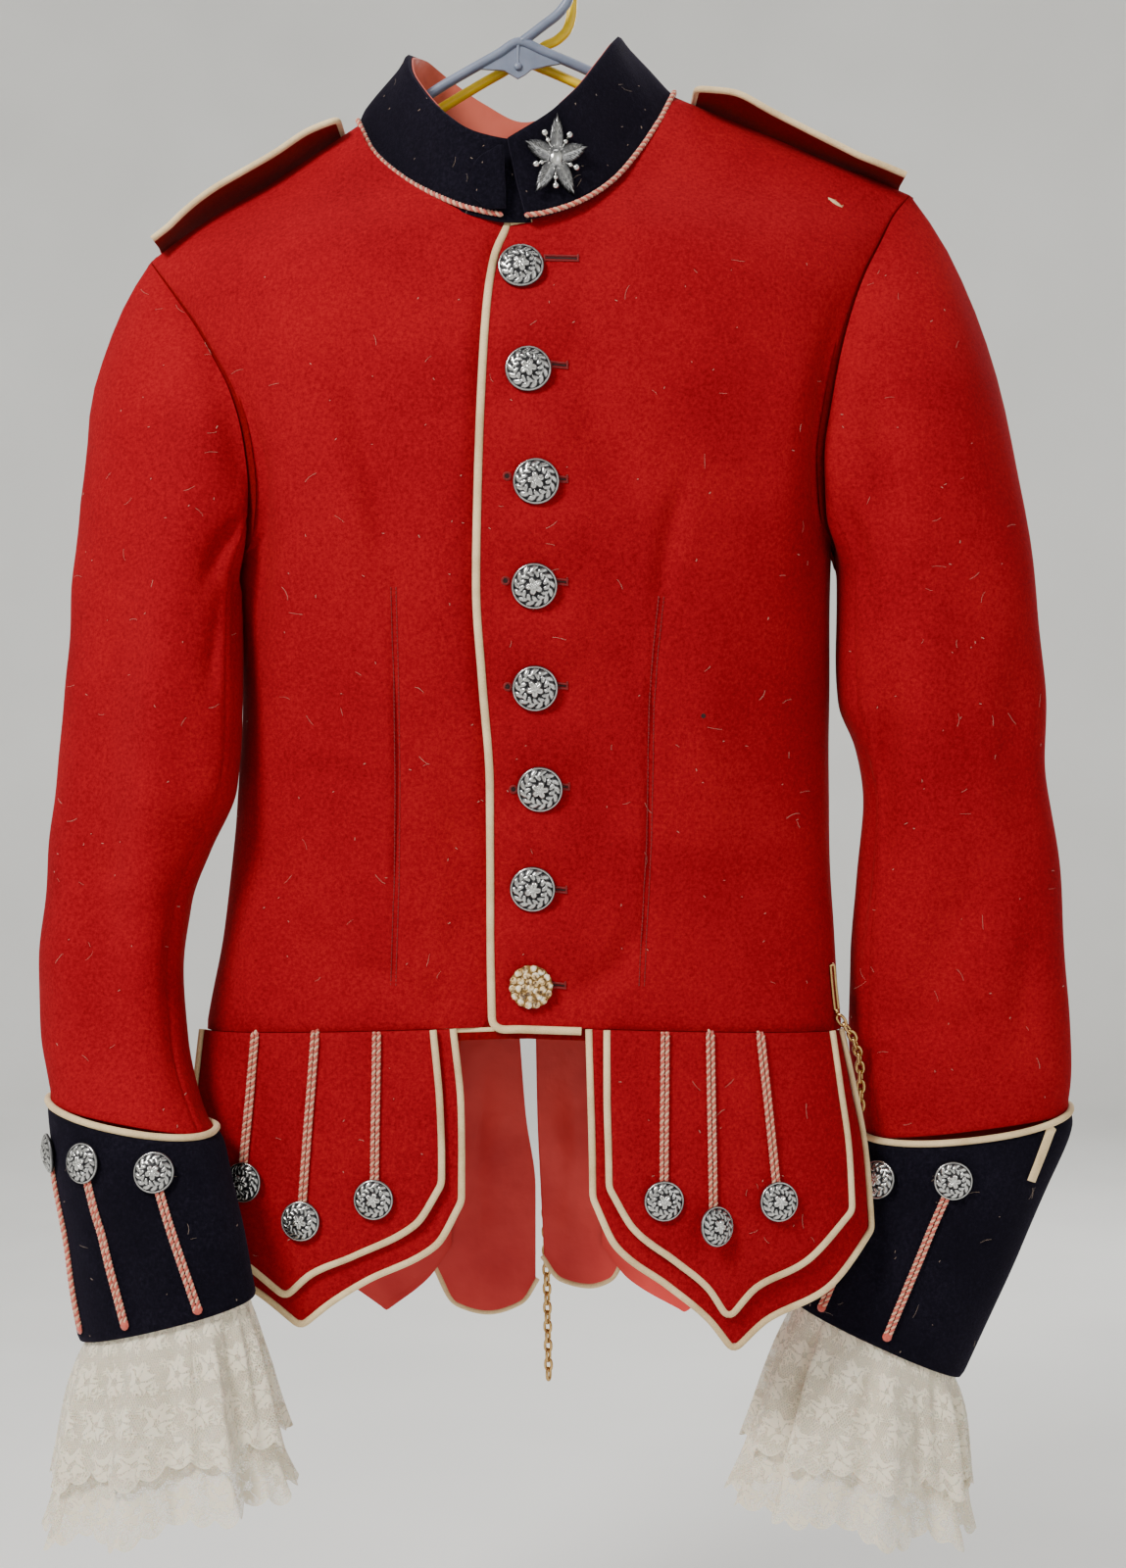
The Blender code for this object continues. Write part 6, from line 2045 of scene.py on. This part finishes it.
def make_side_hook_piece():
    """A long narrow wire hook."""
    front = mesh_tree("wool_front_left")
    path = []
    for point in SIDE_HOOK:
        place, normal, _, _ = front.find_nearest(Vector(point) * MM)
        if normal.x < 0:
            normal = -normal
        path.append(tuple(place + normal * 1.7 * MM))
    path = np.array([tuple(p) for p in resampled([Vector(p) for p in path], 40)])
    side, _ = route_frames(path, np.tile((0.4, -1.0, 0.0), (40, 1)))
    half = 1.25 * MM
    turn = np.linspace(0, math.pi, 12)
    cos, sin = np.cos(turn)[:, None], np.sin(turn)[:, None]
    cap = path[0] + half * (cos * side[0] - sin * unit(path[1] - path[0]))
    loop = np.concatenate([(path + side * half)[::-1], cap[1:-1], path - side * half])
    gather = Gather(GILT_RELIEF)
    gather.tube(loop, 0.85 * MM, 0, 10)
    knot = [path[-1] - (0, 0, drop * MM) for drop in (-0.5, 1.2, 2.4)]
    gather.tube(knot, 1.2 * MM, 0, 10)
    hook = gather.piece("wire_side_hook", ["gilt"], slot="gilt", nodes=["side_hook"], sharp=0)
    hook["foot"] = [float(v) for v in path[-1] - (0, 0, 2.0 * MM)]


def add_stitches(gather, tree, route, pitch, length, size):
    """A row of short stitches along a route of x and z in millimetres, laid on the cloth."""
    path = evenly(np.array(route, float), pitch)
    ahead = unit(np.gradient(path, axis=0))
    for (x, z), (dx, dz) in zip(path, ahead):
        ends = []
        for step in (-0.5, -0.2, 0.2, 0.5):
            lift = 0.0 if abs(step) == 0.5 else size * 0.6 * MM
            found = on_cloth(tree, (x + dx * length * step) * MM, (z + dz * length * step) * MM, lift)
            if found is None:
                break
            ends.append(found)
        if len(ends) == 4:
            places, normals = parted(ends)
            gather.tube(places, size * MM / 2, 0, 4, normals)


def offset_route(route, distance):
    """A route in the plane, moved to one side."""
    route = np.array(route, float)
    ahead = unit(np.gradient(route, axis=0))
    return route + np.stack([-ahead[:, 1], ahead[:, 0]], axis=-1) * distance


DARTS = [
    [(-68, -390), (-67, -440), (-67, -498), (-68, -555), (-70, -611)],
    [(80, -395), (77, -425), (75, -454), (74, -531), (70, -611)]
]
# Buttonholes in the over front: x from, x to and z, in millimetres.
BUTTONHOLES = [
    (15.5, 34, -206), (19, 28, -267), (20, 28, -330), (20, 28, -386), (20, 28, -443), (21, 29, -499),
    (20.5, 27.6, -557), (19.5, 27, -611)
]
EYELETS = [(-5, -329), (-6, -386), (-5, -444), (-2, -501)]


def make_front_stitches():
    front = mesh_tree("wool_front_left", "wool_front_right")
    gather = Gather()
    for dart in DARTS:
        for side in (-1.5, 1.5):
            add_stitches(gather, front, offset_route(dart, side), 2.2, 1.6, 0.6)
    gather.piece("stitches_darts", ["red_thread"], slot="scarlet_wool")
    gather = Gather()
    for start, end, z in BUTTONHOLES:
        for side in (-1.3, 1.3):
            add_stitches(gather, front, [(start, z + side), (end, z - 0.8 + side)], 0.75, 0.55, 1.0)
        for end_x in (start, end):
            add_stitches(gather, front, [(end_x, z - 1.7), (end_x, z + 1.3)], 0.75, 0.55, 1.0)
        # The slit is a dark cord: painted shadow of the opening.
        slot = [on_cloth(
            front, x * MM, (z - 0.8 * (x - start) / (end - start)) * MM, 0.15 * MM
        ) for x in np.linspace(start, end, 14)]
        places, normals = parted(slot)
        gather.tube(places, 0.5 * MM, 1, 6, normals, 0.35)
    for x, z in EYELETS:
        ring = [on_cloth(
            front, (x + 1.9 * math.cos(t)) * MM, (z + 1.9 * math.sin(t)) * MM, 0.1 * MM
        ) for t in np.arange(24) * math.tau / 24]
        places, normals = parted(ring)
        gather.tube(places, 0.62 * MM, 0, 6, normals, 0.8, True)
        # The eyelet's middle is a dark disc: painted shadow of the hole.
        place, normal = on_cloth(front, x * MM, z * MM, 0.1 * MM)
        gather.tube([tuple(place - normal * 0.2 * MM), tuple(place + normal * 0.12 * MM)], 1.5 * MM, 1, 16)
    gather.piece("stitches_buttonholes", ["red_thread", "dark_hole"], slot="scarlet_wool")


def make_lint():
    """Pale hairs and specks that have settled on the wool."""
    random = np.random.default_rng(LINT_SEED)
    trees = {
        "front": (
            mesh_tree("wool_front_left", "wool_front_right"), FRONT, 150, (-0.17, 0.17), (-0.62, -0.2)
        ),
        "flaps": (
            mesh_tree("wool_flap_top_left", "wool_flap_top_right"), FRONT, 34, (-0.17, 0.17), (-0.77, -0.65)
        ),
        "sleeves": (
            mesh_tree(
                "wool_sleeve_top_left", "wool_sleeve_top_right", "wool_sleeve_under_left",
                "wool_sleeve_under_right"
            ),
            FRONT, 150, (-0.27, 0.32), (-0.7, -0.2),
        ),
        "back": (mesh_tree("wool_back_left", "wool_back_right"), BACK, 60, (-0.17, 0.17), (-0.62, -0.2)),
        "collar": (mesh_tree("wool_collar", "wool_collar_tab"), FRONT, 46, (-0.09, 0.09), (-0.18, -0.06)),
        "cuffs": (mesh_tree("wool_cuff_left", "wool_cuff_right"), FRONT, 40, (-0.26, 0.32), (-0.84, -0.71)),
    }
    gather = Gather()
    for tree, face, count, (left, right), (low, high) in trees.values():
        made = 0
        for _ in range(count * 6):
            if made >= count:
                break
            x, z = random.uniform(left, right), random.uniform(low, high)
            way, bend = random.uniform(0, math.tau), random.uniform(-0.2, 0.2)
            speck = random.uniform() < 0.5
            long = random.uniform(0.6, 1.6) if speck else random.uniform(2.5, 8.5)
            path = []
            for k in range(6):
                found = on_cloth(tree, x, z, random.uniform(0.1, 0.35) * MM, face)
                if found is None or (path and (found[0] - path[-1][0]).length > 4 * MM):
                    break
                path.append(found)
                x, z = x + math.cos(way) * long * MM / 5, z + math.sin(way) * long * MM / 5
                way += bend
            if len(path) == 6:
                size = random.uniform(0.09, 0.16) if speck else random.uniform(0.035, 0.065)
                places, normals = parted(path)
                gather.tube(places, size * MM, 0, 3, normals, ends=False)
                made += 1
    gather.piece("lint", ["lint"], slot="cream_piping", sharp=0)


def make_wear():
    """The strip that binds the left cuff's slit, a frayed tear at the shoulder and a moth hole."""
    cuff = mesh_tree("wool_cuff_left")
    route = [(312 - 13 * k, -697 - 33 * k) for k in np.linspace(0, 1, 16)]
    found = [on_cloth(cuff, x * MM, z * MM, 0.5 * MM) for x, z in route]
    places, normals = parted(found)
    gather = Gather()
    gather.tube(places, 3.3 * MM, 0, 14, normals, 0.3)
    gather.piece("felt_cuff_slit", ["cream"], slot="cream_piping")
    front = mesh_tree("wool_front_left", "wool_sleeve_top_left")
    gather = Gather()
    tear = [on_cloth(
        front, (179 + 8 * k) * MM, (-159 - 6 * k) * MM, 0.1 * MM
    ) for k in np.linspace(0, 1, 9)]
    size = np.sin(np.linspace(0.15, 3.0, 9)) * 1.5 * MM
    places, normals = parted(tear)
    gather.tube(places, size, 0, 10, normals, 0.3)
    random = np.random.default_rng(TEAR_SEED)
    for _ in range(14):
        start = tear[random.integers(1, 8)]
        way = Vector((random.normal(), -0.5, random.normal())).normalized()
        gather.tube(
            [tuple(start[0] + way * d * MM) for d in (0.0, 0.9, 1.8)], np.array([0.12, 0.1, 0.05]) * MM, 0,
            4
        )
    gather.piece("felt_tear", ["cream"], slot="cream_piping", sharp=0)
    # The moth hole is a dark disc on the cloth: painted shadow of the hole.
    place, normal = on_cloth(mesh_tree("wool_front_left"), 104 * MM, -460 * MM, 0.1 * MM)
    gather = Gather()
    gather.tube([tuple(place - normal * 0.3 * MM), tuple(place + normal * 0.08 * MM)], 1.4 * MM, 0, 9)
    gather.piece("moth_hole", ["dark_hole"], slot="scarlet_wool")


CAMERA_FOCAL_PX, IMAGE_HIGH_PX = 2333, 1600
CAMERA_PLACE = (0.0257, -1.35, -0.498)
LIGHTS = {  # place, what it faces, width in metres, watts, colour
    "key": ((-1.25, -1.5, 1.1), (0.0, 0.0, -0.45), 0.7, 74, (1.0, 0.98, 0.95)),
    "fill": ((1.5, -1.5, 0.0), (0.0, 0.0, -0.5), 1.4, 6, (0.96, 0.98, 1.0)),
    "top": ((0.1, 0.2, 1.1), (0.0, 0.0, -0.4), 1.0, 8, (1.0, 1.0, 1.0)),
    "behind": ((1.0, 1.9, 0.6), (0.0, 0.0, -0.45), 1.2, 30, (1.0, 0.99, 0.97)),
}
FLOOR_Z, FLOOR_REACH, FLOOR_BEND = -1.12, 2.9, 0.7
FLOOR_GLOW = 0.13


def make_camera():
    camera = bpy.data.cameras.new("camera")
    camera.sensor_fit = "VERTICAL"
    camera.angle = 2 * math.atan(IMAGE_HIGH_PX / 2 / CAMERA_FOCAL_PX)
    holder = bpy.data.objects.new("camera", camera)
    holder.location = CAMERA_PLACE
    holder.rotation_euler = (math.pi / 2, 0, 0)
    bpy.context.scene.collection.objects.link(holder)
    bpy.context.scene.camera = holder


def make_stage():
    """A round pale floor that bends up into a wall all round."""
    profile = [(r, FLOOR_Z) for r in (0.0, 0.8, 1.6, FLOOR_REACH)]
    for k in range(1, 13):
        turn = math.pi / 2 * k / 12
        profile.append((
            FLOOR_REACH + FLOOR_BEND * math.sin(turn), FLOOR_Z + FLOOR_BEND * (1 - math.cos(turn))
        ))
    profile.append((FLOOR_REACH + FLOOR_BEND, 4.5))
    sides = 96
    points = [
        (
            r * math.cos(math.tau * j / sides), r * math.sin(math.tau * j / sides), z
        ) for r, z in profile for j in range(sides)
    ]
    mesh = bpy.data.meshes.new("floor")
    mesh.from_pydata(points, [], grid_quads(len(profile), sides, True, False).tolist())
    mesh.shade_smooth()
    look = Look("floor", 0.85, specular=0.1)
    look.colour(look.ramp(look.noise(3, 2, 0.5), [(0.3, (0.74, 0.74, 0.72)), (0.7, (0.8, 0.8, 0.78))]))
    look.shader.inputs["Emission Color"].default_value = (1.0, 0.99, 0.97, 1)
    look.shader.inputs["Emission Strength"].default_value = FLOOR_GLOW
    mesh.materials.append(look.material)
    floor = bpy.data.objects.new("floor", mesh)
    bpy.context.scene.collection.objects.link(floor)


def make_lights():
    for name, (place, target, size, watts, colour) in LIGHTS.items():
        light = bpy.data.lights.new(name, "AREA")
        light.shape, light.size, light.energy, light.color = "DISK", size, watts, colour
        holder = bpy.data.objects.new(name, light)
        holder.location = place
        holder.rotation_euler = (Vector(target) - Vector(place)).to_track_quat("-Z", "Y").to_euler()
        bpy.context.scene.collection.objects.link(holder)
    world = bpy.data.worlds.new("studio")
    world.use_nodes = True
    world.node_tree.nodes["Background"].inputs["Color"].default_value = (0.95, 0.96, 1.0, 1)
    world.node_tree.nodes["Background"].inputs["Strength"].default_value = 0.1
    bpy.context.scene.world = world


make_camera()
make_stage()
make_lights()
make_panel_cloth()
make_sleeve_cloth()
make_cuff_cloth()
make_lace_cloth()
make_flap_cloth()
make_tail_cloth()
make_seam_allowances()
make_flap_pipings()
make_tail_pipings()
make_front_piping()
make_cuff_pipings()
make_collar_pieces()
make_tab_piece()
make_badge_piece()
make_strap_pieces()
make_button_pieces()
make_braids()
make_hanger_pieces()
make_side_hook_piece()
make_chain_piece()
make_front_stitches()
make_wear()
make_lint()
